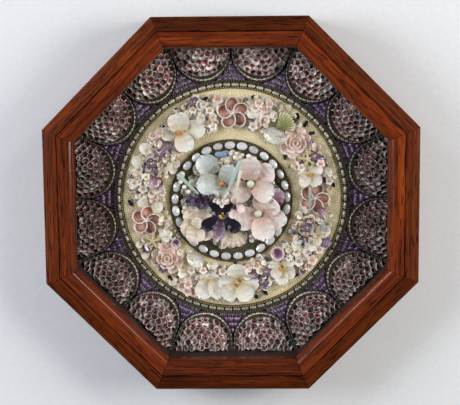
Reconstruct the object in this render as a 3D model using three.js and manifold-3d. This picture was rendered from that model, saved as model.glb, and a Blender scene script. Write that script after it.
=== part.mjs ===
// An octagonal wooden box, lying on its back, with a shellwork picture set deep inside it.
// Millimetres, +Z up out of the picture, +Y towards the picture's top, origin under the middle of the back.
import * as THREE from "three";
import { mergeVertices } from "three/addons/utils/BufferGeometryUtils.js";
import Module from "manifold-3d";

// Case
const ACROSS_FLATS = 300;
const DEPTH = 50;
const SIDE_THICKNESS = 11.6;
const SIDE_SLOPE = 2.7;
const ARRIS = 1;
const JOINT_CHAMFER = 0.6;
const GAP = 0.3;
const MITRE_GAP = 0.34;
const BOARD_THICKNESS = 5;

// Inner moulding
const MOULDING_WIDTH = 12.9;
const MOULDING_HEIGHT = 12;
const BEAD_WIDTH = 6.7;
const BEAD_DROP = 5.8;
const BEAD_STEPS = 5;

// Bed and liner. The bed sits a little high in the case.
const BED_INRADIUS = 133.8;
const BED_THICKNESS = 4.7;
const BED_SHIFT = 4;
const LINER_INRADIUS = 130.2;
const LINER_THICKNESS = 2;

// Sixteen arches around the bed, each in its own sector
const ARCHES = 16;
const ARCH_CENTRE = 119;
const ARCH_LEG = 26;
const STRIP_WIDTH = 3.2;
const STRIP_HEIGHT = 5;
const STRIP_OVERLAP = 0.1;
const STRIP_ARC_STEPS = 8;
const FILL_BULGE = 1.6;
const FILL_ROWS = [
  { inset: 0.4, top: 3.2, lobes: 10 },
  { inset: 5.2, top: 6.2, lobes: 8 },
  { inset: 10.4, top: 9, lobes: 6 },
];

// Outer ring, cream ground and medallion ring
const RING_RADIUS = 92.2;
const RING_HALF_WIDTH = 2.9;
const RING_HEIGHT = 4.2;
const RING_GROOVE = 3.3;
const RING_CREST = 4.8;
const RING_STEPS = 40;
const GROUND_RADIUS = 88.9;
const GROUND_THICKNESS = 1.7;
const MEDALLION_SHIFT = [-1, -2.3];
const BAND_RADIUS = 45;
const BAND_HALF_WIDTH = 5;
const BAND_HEIGHT = 1.8;
const BEADS = 28;
const BEAD_BREADTH = 5.6;
const BEAD_TOP = 5.6;

// Rays of the ribbed fan, as shares of its reach
const RAY_SIDES = 6;
const RAY_WIDTH = 0.15;
const RAY_THICKNESS = 0.12;
const RAY_LIFT = 0.25;

const OCTAGON = 8;
const SIDE_TURN = (2 * Math.PI) / OCTAGON;
const MITRE = Math.tan(SIDE_TURN / 2);
const SECTOR_HALF = Math.PI / ARCHES;
const CASE_INRADIUS = ACROSS_FLATS / 2;
const SIDE_INNER = CASE_INRADIUS - SIDE_THICKNESS;
const BED_TOP = BOARD_THICKNESS + GAP + BED_THICKNESS;
const GROUND_TOP = GAP + GROUND_THICKNESS;

const wasm = await Module();
wasm.setup();

const finish = (color, roughness, metalness = 0) =>
  new THREE.MeshStandardMaterial({ color, roughness, metalness });

const hardwood = finish(0x6b2f18, 0.35);
const hardwoodInner = finish(0x85380f, 0.3);
const plywood = finish(0x9a7b54, 0.8);
const darkCard = finish(0x3a2418, 0.8);
const purpleSpines = finish(0x55407a, 0.6);
const oliveStrip = finish(0x3c3223, 0.6);
const cupShells = finish(0xb08a8c, 0.5);
const creamShell = finish(0xcdc3a0, 0.6);
const silverBeads = finish(0xb9c3c3, 0.25, 0.3);
const whiteShell = finish(0xe9e6dc, 0.45);
const pinkShell = finish(0xe3bdb4, 0.45);
const redBrownShell = finish(0x9c5a4c, 0.45);
const blueWhiteShell = finish(0xcfdbe2, 0.35);
const darkPurpleShell = finish(0x2a1a38, 0.4);
const greenShell = finish(0x9aa35c, 0.5);

// Solids for joining and cutting
function toSolid(geometry) {
  const bare = geometry.clone();
  bare.deleteAttribute("normal");
  bare.deleteAttribute("uv");
  const merged = mergeVertices(bare);
  return new wasm.Manifold(new wasm.Mesh({
    numProp: 3,
    vertProperties: merged.attributes.position.array,
    triVerts: Uint32Array.from(merged.index.array),
  }));
}

function toGeometry(solid) {
  const mesh = solid.getMesh();
  const geometry = new THREE.BufferGeometry();
  geometry.setAttribute("position", new THREE.BufferAttribute(mesh.vertProperties, 3));
  geometry.setIndex(new THREE.BufferAttribute(mesh.triVerts, 1));
  geometry.computeVertexNormals();
  return geometry;
}

const join = (geometries) =>
  toGeometry(geometries.map(toSolid).reduce((whole, piece) => whole.add(piece)));

const box = new THREE.Group();

function add(parent, name, geometry, material, at = [0, 0, 0], turn = 0) {
  const mesh = new THREE.Mesh(geometry, material);
  mesh.name = name;
  mesh.position.set(...at);
  mesh.rotation.z = turn;
  parent.add(mesh);
}

// Octagonal outline with flats square to the axes
function octagon(inradius) {
  const corners = [];
  for (let i = 0; i < OCTAGON; i += 1) {
    const angle = SIDE_TURN * (i + 0.5);
    const reach = inradius / Math.cos(SIDE_TURN / 2);
    corners.push(new THREE.Vector2(reach * Math.cos(angle), reach * Math.sin(angle)));
  }
  return corners;
}

function plate(outline, bottom, top, hole = null) {
  const shape = new THREE.Shape(outline);
  if (hole) {
    shape.holes.push(new THREE.Path(hole));
  }
  const geometry = new THREE.ExtrudeGeometry(shape, { depth: top - bottom, bevelEnabled: false });
  return geometry.translate(0, 0, bottom);
}

// A straight bar of one side of the octagon: a (radius, height) profile with both ends cut to the mitre
function mitredBar(profile) {
  const shape = new THREE.Shape(profile.map(([radius, height]) => new THREE.Vector2(radius, height)));
  const geometry = new THREE.ExtrudeGeometry(shape, { depth: 1, bevelEnabled: false });
  const position = geometry.attributes.position;
  for (let i = 0; i < position.count; i += 1) {
    const radius = position.getX(i);
    const end = 1 - 2 * position.getZ(i);
    position.setXYZ(i, radius, end * (radius * MITRE - MITRE_GAP / 2), position.getY(i));
  }
  geometry.computeVertexNormals();
  return geometry;
}

function caseSide() {
  const outerTop = DEPTH - SIDE_SLOPE;
  return mitredBar([
    [SIDE_INNER, 0],
    [CASE_INRADIUS, 0],
    [CASE_INRADIUS, outerTop - ARRIS],
    [CASE_INRADIUS - ARRIS, outerTop],
    [SIDE_INNER + JOINT_CHAMFER, DEPTH],
    [SIDE_INNER, DEPTH - JOINT_CHAMFER],
  ]);
}

function innerMoulding() {
  const outer = SIDE_INNER - GAP;
  const lip = outer - MOULDING_WIDTH;
  const profile = [
    [lip, DEPTH - MOULDING_HEIGHT],
    [outer, DEPTH - MOULDING_HEIGHT],
    [outer, DEPTH - JOINT_CHAMFER],
    [outer - JOINT_CHAMFER, DEPTH],
  ];
  for (let i = 0; i <= BEAD_STEPS; i += 1) {
    const angle = (Math.PI / 2) * (i / BEAD_STEPS);
    const radius = lip + BEAD_WIDTH * (1 - Math.sin(angle));
    profile.push([radius, DEPTH - BEAD_DROP * (1 - Math.cos(angle))]);
  }
  return mitredBar(profile);
}

for (let i = 0; i < OCTAGON; i += 1) {
  add(box, `case_side_${i + 1}`, caseSide(), hardwood, [0, 0, 0], i * SIDE_TURN);
  add(box, `inner_moulding_${i + 1}`, innerMoulding(), hardwoodInner, [0, 0, 0], i * SIDE_TURN);
}
add(box, "back_board", plate(octagon(SIDE_INNER - GAP), 0, BOARD_THICKNESS), plywood);

// The shellwork panel: everything on it is measured from the top of the bed
const panel = new THREE.Group();
panel.position.set(0, BED_SHIFT, BED_TOP);
box.add(panel);

const linerTop = DEPTH - MOULDING_HEIGHT - GAP - BED_TOP;
const linerOuter = octagon(LINER_INRADIUS + LINER_THICKNESS);
add(panel, "bed", plate(octagon(BED_INRADIUS), -BED_THICKNESS, 0), purpleSpines);
add(panel, "liner", plate(linerOuter, GAP, linerTop, octagon(LINER_INRADIUS)), darkCard);

// A point of an arch's edge in its sector, where +X runs outwards along the sector's middle. The edge is a
// leg along the sector's side, a round head towards the middle of the panel, and a second leg.
function archPoint(share, inset) {
  const head = ARCH_CENTRE * Math.sin(SECTOR_HALF);
  const headLength = head * (Math.PI - 2 * SECTOR_HALF);
  const travel = share * (2 * ARCH_LEG + headLength) - ARCH_LEG;
  const onHead = Math.min(Math.max(travel, 0), headLength);
  const past = travel - onHead;
  const angle = Math.PI / 2 + SECTOR_HALF + onHead / head;
  const x = ARCH_CENTRE + (head - inset) * Math.cos(angle) + Math.abs(past) * Math.cos(SECTOR_HALF);
  const y = (head - inset) * Math.sin(angle) - past * Math.sin(SECTOR_HALF);
  return new THREE.Vector2(x, y);
}

function archStrip() {
  const points = [];
  const shares = [0];
  const head = ARCH_CENTRE * Math.sin(SECTOR_HALF) * (Math.PI - 2 * SECTOR_HALF);
  const legShare = ARCH_LEG / (2 * ARCH_LEG + head);
  for (let i = 0; i <= STRIP_ARC_STEPS; i += 1) {
    shares.push(legShare + (1 - 2 * legShare) * (i / STRIP_ARC_STEPS));
  }
  shares.push(1);
  shares.forEach((share) => points.push(archPoint(share, -STRIP_OVERLAP)));
  shares.reverse().forEach((share) => points.push(archPoint(share, STRIP_WIDTH)));
  return plate(points, GAP, STRIP_HEIGHT);
}

// One row of the fish-scale mound: a plate whose edge is a line of lobes
function fillRow({ inset, top, lobes }) {
  const points = [];
  for (let i = 0; i <= 2 * lobes; i += 1) {
    const valley = i % 2 === 0 ? FILL_BULGE : 0;
    points.push(archPoint(i / (2 * lobes), STRIP_WIDTH + GAP + inset + valley));
  }
  return plate(points, GAP, top);
}

const insideLiner = toSolid(plate(octagon(LINER_INRADIUS - GAP), -1, linerTop));
const turned = (geometry, angle) => geometry.clone().rotateZ(angle);

const stripPair = [SECTOR_HALF, -SECTOR_HALF].map((angle) => turned(archStrip(), angle));
const garland = [];
for (let i = 0; i < OCTAGON; i += 1) {
  stripPair.forEach((strip) => garland.push(turned(strip, i * SIDE_TURN)));
}
add(panel, "scalloped_strip", toGeometry(toSolid(join(garland)).intersect(insideLiner)), oliveStrip);

for (let i = 0; i < ARCHES; i += 1) {
  const lean = i % 2 === 0 ? SECTOR_HALF : -SECTOR_HALF;
  const mound = join(FILL_ROWS.map((row) => turned(fillRow(row), lean)));
  const fill = toGeometry(toSolid(mound).intersect(insideLiner));
  add(panel, `arch_shells_${i + 1}`, fill, cupShells, [0, 0, 0], Math.ceil(i / 2) * SIDE_TURN);
}

// A ring turned from a closed (radius, height) profile
function ring(profile, steps) {
  const points = [...profile, profile[0]].map(([radius, height]) => new THREE.Vector2(radius, height));
  return new THREE.LatheGeometry(points, steps).rotateX(Math.PI / 2);
}

function outerRing() {
  const half = RING_HALF_WIDTH;
  const groove = half / 2;
  return ring([
    [RING_RADIUS - half, GAP],
    [RING_RADIUS + half, GAP],
    [RING_RADIUS + half, RING_HEIGHT],
    [RING_RADIUS + groove, RING_GROOVE],
    [RING_RADIUS, RING_CREST],
    [RING_RADIUS - groove, RING_GROOVE],
    [RING_RADIUS - half, RING_HEIGHT],
  ], RING_STEPS);
}

// The band with its row of oval beads: the crest is high at each bead and drops to the band between them
function medallionRing() {
  const inner = BAND_RADIUS - BAND_HALF_WIDTH;
  const outer = BAND_RADIUS + BAND_HALF_WIDTH;
  const band = ring([
    [inner, GAP],
    [outer, GAP],
    [outer, BAND_HEIGHT],
    [BAND_RADIUS + BEAD_BREADTH / 2, BAND_HEIGHT],
    [BAND_RADIUS, BEAD_TOP],
    [BAND_RADIUS - BEAD_BREADTH / 2, BAND_HEIGHT],
    [inner, BAND_HEIGHT],
  ], 2 * BEADS);
  const position = band.attributes.position;
  for (let i = 0; i < position.count; i += 1) {
    const turn = Math.atan2(position.getY(i), position.getX(i));
    const onBead = Math.round((turn * BEADS) / Math.PI) % 2 === 0;
    if (!onBead && position.getZ(i) > BAND_HEIGHT) {
      position.setZ(i, BAND_HEIGHT);
    }
  }
  return band;
}

const disc = new THREE.CylinderGeometry(GROUND_RADIUS, GROUND_RADIUS, GROUND_THICKNESS, RING_STEPS);
disc.rotateX(Math.PI / 2).translate(0, 0, GAP + GROUND_THICKNESS / 2);
add(panel, "outer_ring", outerRing(), silverBeads);
add(panel, "cream_ground", disc, creamShell);

const ground = new THREE.Group();
ground.position.set(0, 0, GROUND_TOP);
panel.add(ground);
const medallion = new THREE.Group();
medallion.position.set(...MEDALLION_SHIFT, 0);
ground.add(medallion);
add(medallion, "medallion_ring", medallionRing(), silverBeads);

// A flower of one piece. Its profile runs from under the middle to the rim and back over the top, in shares
// of the reach. The notch draws it in between the petals, the lean lifts one edge of every petal, and the
// twist turns its middle against its rim.
function bloom(reach, { count, profile, steps = 4, notch = 0.3, lean = 0, twist = 0 }) {
  const points = profile.map(([out, up]) => new THREE.Vector2(out * reach, up * reach));
  const geometry = new THREE.LatheGeometry(points, count * steps);
  geometry.rotateX(Math.PI / 2).rotateZ(Math.PI / 2);
  const position = geometry.attributes.position;
  const stepTurn = (2 * Math.PI) / (count * steps);
  for (let i = 0; i < position.count; i += 1) {
    const out = Math.hypot(position.getX(i), position.getY(i)) / reach;
    const step = Math.round(Math.atan2(position.getY(i), position.getX(i)) / stepTurn) + count * steps;
    const share = (step % steps) / steps;
    const radius = out * reach * (1 - notch * (1 - Math.sin(Math.PI * share)));
    const angle = step * stepTurn + twist * (1 - out);
    const height = position.getZ(i) + lean * reach * share * out;
    position.setXYZ(i, radius * Math.cos(angle), radius * Math.sin(angle), height);
  }
  return settle(toGeometry(toSolid(geometry)));
}

// Sets a piece down so that its lowest point clears the ground
function settle(geometry) {
  geometry.computeVertexNormals();
  geometry.computeBoundingBox();
  return geometry.translate(0, 0, GAP - geometry.boundingBox.min.z);
}

const blossom = (reach, count = 5) => bloom(reach, {
  count,
  profile: [[0, 0], [1, 0.3], [0.75, 0.42], [0.32, 0.26], [0.22, 0.45], [0, 0.5]],
});

const pinwheel = (reach) => bloom(reach, {
  count: 5,
  notch: 0.22,
  lean: 0.35,
  twist: 0.9,
  profile: [[0, 0], [0.5, 0], [1, 0.2], [0.85, 0.34], [0.3, 0.3], [0, 0.45]],
});

const rose = (reach) => bloom(reach, {
  count: 5,
  notch: 0.16,
  twist: 1.3,
  profile: [[0, 0], [0.45, 0], [1, 0.4], [0.7, 0.36], [0.64, 0.62], [0.4, 0.45], [0.32, 0.75], [0, 0.55]],
});

const pansy = (reach) => bloom(reach, {
  count: 5,
  notch: 0.24,
  profile: [[0, 0], [0.4, 0], [1, 0.2], [0.8, 0.3], [0.25, 0.24], [0, 0.34]],
});

const starfish = (reach) => bloom(reach, {
  count: 5,
  steps: 2,
  notch: 0.6,
  profile: [[0, 0], [1, 0], [0.6, 0.25], [0, 0.4]],
});

const shellDisc = (reach) => bloom(reach, {
  count: 12,
  steps: 1,
  notch: 0,
  profile: [[0, 0], [0.5, 0], [1, 0.14], [0.6, 0.4], [0, 0.55]],
});

const cluster = (reach) => bloom(reach, {
  count: 4,
  notch: 0.45,
  profile: [[0, 0], [0.9, 0], [1, 0.3], [0.65, 0.6], [0.2, 0.45], [0, 0.4]],
});

// A ribbed fan: narrow faceted rays side by side that all start from the hinge
function fan(reach, ribs, spread) {
  const rays = [];
  for (let i = 0; i < ribs; i += 1) {
    const ray = new THREE.SphereGeometry(1, RAY_SIDES, 2).rotateX(Math.PI / 2);
    ray.scale(reach / 2, reach * RAY_WIDTH, reach * RAY_THICKNESS).translate(reach / 2, 0, 0);
    rays.push(ray.rotateY(-RAY_LIFT).rotateZ(spread * (i / (ribs - 1) - 0.5)));
  }
  return settle(join(rays).translate(-reach / 2, 0, 0));
}

const WREATH = [
  { name: "pinwheel_top", at: [2, 69], shape: pinwheel(12), material: redBrownShell },
  { name: "green_fan", at: [44, 65], shape: fan(13, 5, 1.5), material: greenShell, turn: 0.9 },
  { name: "pearly_disc", at: [36, 49], shape: shellDisc(7.5), material: blueWhiteShell },
  { name: "rose_upper_right", at: [53, 44], shape: rose(9.5), material: pinkShell },
  { name: "starfish_right", at: [63.5, 30], shape: starfish(6.5), material: creamShell },
  { name: "pinwheel_right", at: [67.5, 0], shape: pinwheel(12), material: redBrownShell, turn: 0.5 },
  { name: "cream_flower_right", at: [69, -33], shape: blossom(9), material: creamShell },
  { name: "white_blossom_lower_right", at: [42, -60], shape: blossom(8.5), material: whiteShell, turn: 0.3 },
  { name: "white_flower_bottom", at: [4.5, -73], shape: blossom(13.5, 6), material: whiteShell },
  { name: "white_blossom_bottom_left", at: [-18, -79], shape: blossom(7.5), material: whiteShell, turn: 0.7 },
  { name: "pearly_shell_left", at: [-31, -53], shape: shellDisc(7.5), material: blueWhiteShell },
  { name: "rose_lower_left", at: [-54, -51], shape: rose(11), material: pinkShell, turn: 0.5 },
  { name: "starfish_left", at: [-66.5, -36], shape: starfish(5.5), material: creamShell, turn: 0.4 },
  { name: "pinwheel_left", at: [-70, -19], shape: pinwheel(10.5), material: redBrownShell, turn: 0.2 },
  { name: "white_shells_left", at: [-75, 13], shape: cluster(9), material: whiteShell },
  { name: "white_flower_upper_left", at: [-41, 53], shape: blossom(13.5, 6), material: whiteShell, turn: 0.4 },
];
WREATH.forEach(({ name, at, shape, material, turn = 0 }) =>
  add(ground, name, shape, material, [...at, 0], turn));

const BOUQUET = [
  { name: "blue_white_flower", at: [-7, 15], shape: blossom(12), material: blueWhiteShell },
  { name: "pink_flower_upper", at: [17, 13.5], shape: blossom(11.3), material: pinkShell, turn: 0.3 },
  { name: "pink_flower_lower", at: [23, -10.5], shape: blossom(12.4), material: pinkShell, turn: 0.7 },
  { name: "dark_pansy", at: [-6.5, -10.5], shape: pansy(10), material: darkPurpleShell },
  { name: "cream_rose", at: [-26, -18], shape: rose(8.5), material: pinkShell },
];
BOUQUET.forEach(({ name, at, shape, material, turn = 0 }) =>
  add(medallion, name, shape, material, [...at, 0], turn));

export default box;
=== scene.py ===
"""An octagonal wooden box with a shellwork picture inside it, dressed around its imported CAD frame.

The box lies on its back: +Z comes out of the picture and +Y is the picture's top. Shapes are worked out in
millimetres and written to Blender in metres.
"""

import math
from typing import NamedTuple

import bpy
import numpy as np
from mathutils import Matrix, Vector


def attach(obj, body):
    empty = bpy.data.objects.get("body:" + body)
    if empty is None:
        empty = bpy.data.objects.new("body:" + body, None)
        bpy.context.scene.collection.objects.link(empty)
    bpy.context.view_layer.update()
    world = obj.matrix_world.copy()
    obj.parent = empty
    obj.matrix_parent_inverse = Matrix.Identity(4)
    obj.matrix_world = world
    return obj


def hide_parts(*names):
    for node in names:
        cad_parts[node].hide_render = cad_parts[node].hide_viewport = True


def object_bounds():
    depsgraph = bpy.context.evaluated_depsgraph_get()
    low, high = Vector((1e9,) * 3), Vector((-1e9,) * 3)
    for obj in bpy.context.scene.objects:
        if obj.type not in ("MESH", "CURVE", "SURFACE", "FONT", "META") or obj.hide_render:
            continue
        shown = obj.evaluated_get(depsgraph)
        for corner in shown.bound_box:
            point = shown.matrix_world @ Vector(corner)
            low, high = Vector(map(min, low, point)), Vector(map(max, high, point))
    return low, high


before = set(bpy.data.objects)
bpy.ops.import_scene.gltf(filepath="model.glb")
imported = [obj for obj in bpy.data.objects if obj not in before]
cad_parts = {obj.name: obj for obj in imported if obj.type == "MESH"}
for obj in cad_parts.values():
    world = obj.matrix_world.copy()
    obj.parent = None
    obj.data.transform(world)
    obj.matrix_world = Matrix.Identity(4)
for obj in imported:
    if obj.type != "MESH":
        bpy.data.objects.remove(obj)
cad_low, cad_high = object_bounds()


# The case sides: eight boards of reddish hardwood set on edge, their tops planed to slope a little outwards.
# Each is mitred at both ends and glued to its neighbours, then stained dark and French polished.
MM = 0.001
SIDES = 8
SIDE_TURN = 2 * math.pi / SIDES
CASE_INRADIUS = round(cad_high[0] / MM, 3)
CASE_INNER = 138.4
CASE_TOP = round(cad_high[2] / MM, 3)
CASE_SLOPE = 2.7
CASE_EASES = [0.2, 0.5, 1.5, 0.6]
# Painted light and shade, mixed with the boards' own differences: a lightness for each side, darkest at the
# top and lightest at the upper left.
BOARD_SHADE_AND_TONE = [0.62, 0.5, 0.05, 0.95, 0.62, 0.5, 0.33, 0.42]
CASE_MITRE_GAP = 0.12
LOG_SPAN = 4000
rng = np.random.default_rng(1846)


class Form(NamedTuple):
    """A closed mesh of triangles in millimetres, with two numbers for each point that the materials read.

    along runs over a shell, from 0 in its hollow or at its hinge to 1 at its back or tip. tone is one random
    number per shell, so that neighbours differ.
    """

    points: np.ndarray
    tris: np.ndarray
    along: np.ndarray
    tone: np.ndarray


def linear(colour):
    """A colour written as sRGB hex, as the linear colour that Blender's sockets take."""
    share = np.array([int(colour[i : i + 2], 16) for i in (1, 3, 5)]) / 255
    light = np.where(share <= 0.04045, share / 12.92, ((share + 0.055) / 1.055) ** 2.4)
    return (*light.tolist(), 1.0)


def node(material, kind, inputs=None, output=0, stops=None, **settings):
    """Adds a shader node and gives back one of its outputs.

    Its inputs are filled with values or with other nodes' outputs. The stops of a colour ramp map a place
    from 0 to 1 to its sRGB hex.
    """
    made = material.node_tree.nodes.new("ShaderNode" + kind)
    for name, value in settings.items():
        setattr(made, name, value)
    for socket, value in (inputs or {}).items():
        if isinstance(value, bpy.types.NodeSocket):
            material.node_tree.links.new(value, made.inputs[socket])
        else:
            made.inputs[socket].default_value = value
    if stops:
        elements = made.color_ramp.elements
        elements.remove(elements[1])
        for index, (place, colour) in enumerate(stops.items()):
            element = elements.new(place) if index else elements[0]
            element.position = place
            element.color = linear(colour)
    return made.outputs[output]


def noise_to(low, high):
    """Settings that stretch noise, which mostly lies between 0.3 and 0.7, to run from low to high."""
    return {"From Min": 0.3, "From Max": 0.7, "To Min": low, "To Max": high}


def repeats(size):
    """The scale of a pattern that repeats every so many millimetres, given once or for each of three axes."""
    return (1 / (np.array(size) * MM)).tolist()


def surface(name):
    """A new material with its shader."""
    made = bpy.data.materials.new(name)
    made.use_nodes = True
    return made, made.node_tree.nodes["Principled BSDF"]


def coat(material, shader, colour, rough, height, depth, values=None):
    """Links colour, roughness and a bump so many millimetres deep to the shader, and sets other values."""
    bump = node(material, "Bump", {"Height": height, "Distance": depth * MM})
    for socket, output in {"Base Color": colour, "Roughness": rough, "Normal": bump}.items():
        material.node_tree.links.new(output, shader.inputs[socket])
    for socket, value in (values or {}).items():
        shader.inputs[socket].default_value = value


def hardwood(name, stops, rough, polish, joint, figure):
    """Polished hardwood: streaks 1.4 mm wide and a finger long, broad darker clouds, and short dark pores.

    The pores are drawn some three times coarser than real ones, so that they show. Grime darkens the wood for
    about a millimetre on each side of the joint, at that radius. figure is how dark and light the clouds go.
    """
    made, shader = surface(name)
    grain = node(made, "Attribute", output="Vector", attribute_name="grain")
    tone = node(made, "Attribute", output="Fac", attribute_name="tone")
    across = node(made, "Attribute", output="Fac", attribute_name="along")
    streak_place = node(made, "Mapping", {"Vector": grain, "Scale": repeats((71.43, 1.4286, 1.4286))})
    pore_place = node(made, "Mapping", {"Vector": grain, "Scale": repeats((12.5, 1.0, 1.0))})
    cloud_place = node(made, "Mapping", {"Vector": grain, "Scale": repeats((55.556, 7.6923, 7.6923))})
    streaks = node(made, "TexNoise", {"Vector": streak_place, "Scale": 1, "Detail": 4, "Distortion": 0.5})
    pores = node(made, "TexNoise", {"Vector": pore_place, "Scale": 1, "Detail": 2})
    clouds = node(made, "TexNoise", {"Vector": cloud_place, "Scale": 1, "Detail": 3, "Distortion": 0.4})
    streaked = node(made, "MapRange", {"Value": streaks, **noise_to(0, 1)})
    colour = node(made, "ValToRGB", {"Fac": streaked}, stops=stops)
    pored = node(made, "MapRange", {"Value": pores, "From Min": 0.35, "From Max": 0.46, "To Min": 0.26})
    clouded = node(made, "MapRange", {"Value": clouds, **noise_to(*figure)})
    # Each board's tone sets its lightness; the tones given for the sides paint light and shade on them as
    # well as differences between boards.
    board = node(made, "MapRange", {"Value": tone, "To Min": 0.6, "To Max": 1.4})
    off_joint = node(made, "Math", {0: across, 1: joint}, operation="SUBTRACT")
    from_joint = node(made, "Math", {0: off_joint}, operation="ABSOLUTE")
    ragged = node(made, "Math", {0: pores, 1: 4.0, 2: from_joint}, operation="MULTIPLY_ADD")
    grimed = node(made, "MapRange", {"Value": ragged, "From Min": 1.95, "From Max": 2.6, "To Min": 0.3})
    worn = node(made, "Math", {0: pored, 1: clouded}, operation="MULTIPLY")
    aged = node(made, "Math", {0: worn, 1: grimed}, operation="MULTIPLY")
    value = node(made, "Math", {0: aged, 1: board}, operation="MULTIPLY")
    varied = node(made, "HueSaturation", {"Color": colour, "Value": value})
    gloss = node(made, "MapRange", {"Value": clouds, **noise_to(*rough)})
    clear = {"Coat Weight": polish, "Coat Roughness": 0.14, "Specular IOR Level": 0.08}
    coat(made, shader, varied, gloss, pores, 0.12, clear)
    return made


def piece(name, form, material, nodes=(), sharp=40, grain=None):
    """Makes one object of the form, on the object's only body, standing for the CAD nodes named."""
    mesh = bpy.data.meshes.new(name)
    mesh.from_pydata(form.points * MM, [], form.tris)
    for key, values in {"along": form.along, "tone": form.tone}.items():
        mesh.attributes.new(key, "FLOAT", "POINT").data.foreach_set("value", values.astype(np.float32))
    if grain is not None:
        place = mesh.attributes.new("grain", "FLOAT_VECTOR", "POINT")
        place.data.foreach_set("vector", (grain * MM).astype(np.float32).ravel())
    mesh.materials.append(material)
    mesh.shade_smooth()
    mesh.set_sharp_from_angle(angle=math.radians(sharp))
    made = bpy.data.objects.new(name, mesh)
    bpy.context.scene.collection.objects.link(made)
    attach(made, "root")
    if nodes:
        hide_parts(*nodes)
    return made


def eased(corners, cuts, steps=4):
    """Rounds the corners of an outline: each becomes a quadratic curve between the cuts on its two sides."""
    corners = np.array(corners, float)
    cuts = np.array(cuts, float)[:, None]
    before = np.roll(corners, 1, axis=0) - corners
    after = np.roll(corners, -1, axis=0) - corners
    start = corners + before / np.linalg.norm(before, axis=1, keepdims=True) * cuts
    end = corners + after / np.linalg.norm(after, axis=1, keepdims=True) * cuts
    t = np.linspace(0, 1, steps)[None, :, None]
    curve = (1 - t) ** 2 * start[:, None] + 2 * t * (1 - t) * corners[:, None] + t**2 * end[:, None]
    return curve.reshape(-1, 2)


def lattice(rows, columns, wrap=False):
    """Triangles over a grid of points, rows by columns, whose columns may close on themselves."""
    i, j = np.meshgrid(np.arange(rows - 1), np.arange(columns if wrap else columns - 1), indexing="ij")
    a, b = i * columns + j, (i + 1) * columns + j
    c, d = (i + 1) * columns + (j + 1) % columns, i * columns + (j + 1) % columns
    return np.concatenate([np.stack([a, b, c], -1).reshape(-1, 3), np.stack([a, c, d], -1).reshape(-1, 3)])


def capped_tube(rows, columns):
    """Triangles over a grid whose columns close on themselves, with its first and last rows as flat caps."""
    fan = np.stack([np.zeros(columns - 2, int), np.arange(1, columns - 1), np.arange(2, columns)], -1)
    return np.concatenate([lattice(rows, columns, wrap=True), fan, fan[:, ::-1] + (rows - 1) * columns])


def mitred_bar(profile, side, mitre_gap, tone, stations=9):
    """One side of the octagon: a convex (radius, height) outline drawn along the side, cut at 22.5 degrees.

    Returns the form and, for each point, its place in the board: along it, across it and up it.
    """
    share = np.linspace(-1, 1, stations)[:, None]
    run = share * (profile[:, 0] * math.tan(SIDE_TURN / 2) - mitre_gap / 2)
    radius = np.broadcast_to(profile[:, 0], run.shape)
    height = np.broadcast_to(profile[:, 1], run.shape)
    place = np.stack([run, radius, height], -1).reshape(-1, 3)
    angle = side * SIDE_TURN
    x = place[:, 1] * math.cos(angle) - place[:, 0] * math.sin(angle)
    y = place[:, 1] * math.sin(angle) + place[:, 0] * math.cos(angle)
    tris = capped_tube(stations, len(profile))
    form = Form(np.stack([x, y, place[:, 2]], -1), tris, place[:, 1], np.full(len(place), tone))
    return form, place + rng.uniform(0, LOG_SPAN, 3)


# Stained dark and worn nearly dull: red-brown, with short dark pores along each board.
case_stops = {0: "#461a04", 0.4: "#5b2508", 0.7: "#672b0a", 1: "#76360e"}
case_wood = hardwood(
    "stained mahogany",
    case_stops,
    rough=(0.5, 0.7),
    polish=0.03,
    joint=CASE_INNER,
    figure=(0.7, 1.22),
)
side_profile = eased(
    [
        [CASE_INNER, 0],
        [CASE_INRADIUS, 0],
        [CASE_INRADIUS, CASE_TOP - CASE_SLOPE],
        [CASE_INNER, CASE_TOP],
    ],
    CASE_EASES,
)
for side in range(SIDES):
    form, grain = mitred_bar(side_profile, side, CASE_MITRE_GAP, BOARD_SHADE_AND_TONE[side])
    node_name = f"case_side_{side + 1}"
    piece(f"side_board_{side + 1}", form, case_wood, [node_name], grain=grain)


# The inner moulding: a lighter, redder strip let in along the inside of each board, with a rounded lip.
# It is hardwood too, mitred at the corners and glued on last to cover the edge of the lining.
MOULDING_OUTER = 138.1
MOULDING_LIP = 125.2
MOULDING_FOOT = 38.0
ROUND_WIDTH = 6.7
ROUND_DROP = 5.8
MOULDING_EASE = 0.6
MOULDING_MITRE_GAP = 0.34
# Painted light and shade, mixed with the strips' own differences: a lightness for each side, darkest at the
# bottom and the left.
MOULDING_SHADE_AND_TONE = [0.58, 0.62, 0.42, 0.5, 0.2, 0.42, 0.03, 0.42]

# The same wood, less stained and with its polish left: brighter, with a clear gloss on the rounded lip.
moulding_stops = {0: "#481600", 0.4: "#702802", 0.7: "#823204", 1: "#964308"}
moulding_wood = hardwood(
    "polished mahogany",
    moulding_stops,
    rough=(0.4, 0.55),
    polish=0.65,
    joint=MOULDING_OUTER,
    figure=(0.6, 1.24),
)
round_turn = np.linspace(0, math.pi / 2, 10)
rounding = np.stack(
    [
        MOULDING_LIP + ROUND_WIDTH * (1 - np.sin(round_turn)),
        CASE_TOP - ROUND_DROP * (1 - np.cos(round_turn)),
    ],
    -1,
)
moulding_square = [
    [MOULDING_LIP, MOULDING_FOOT],
    [MOULDING_OUTER, MOULDING_FOOT],
    [MOULDING_OUTER, CASE_TOP - MOULDING_EASE],
    [MOULDING_OUTER - MOULDING_EASE, CASE_TOP],
]
moulding_profile = np.concatenate([moulding_square, rounding])
for side in range(SIDES):
    form, grain = mitred_bar(moulding_profile, side, MOULDING_MITRE_GAP, MOULDING_SHADE_AND_TONE[side])
    node_name = f"inner_moulding_{side + 1}"
    piece(f"moulding_{side + 1}", form, moulding_wood, [node_name], grain=grain)


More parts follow.
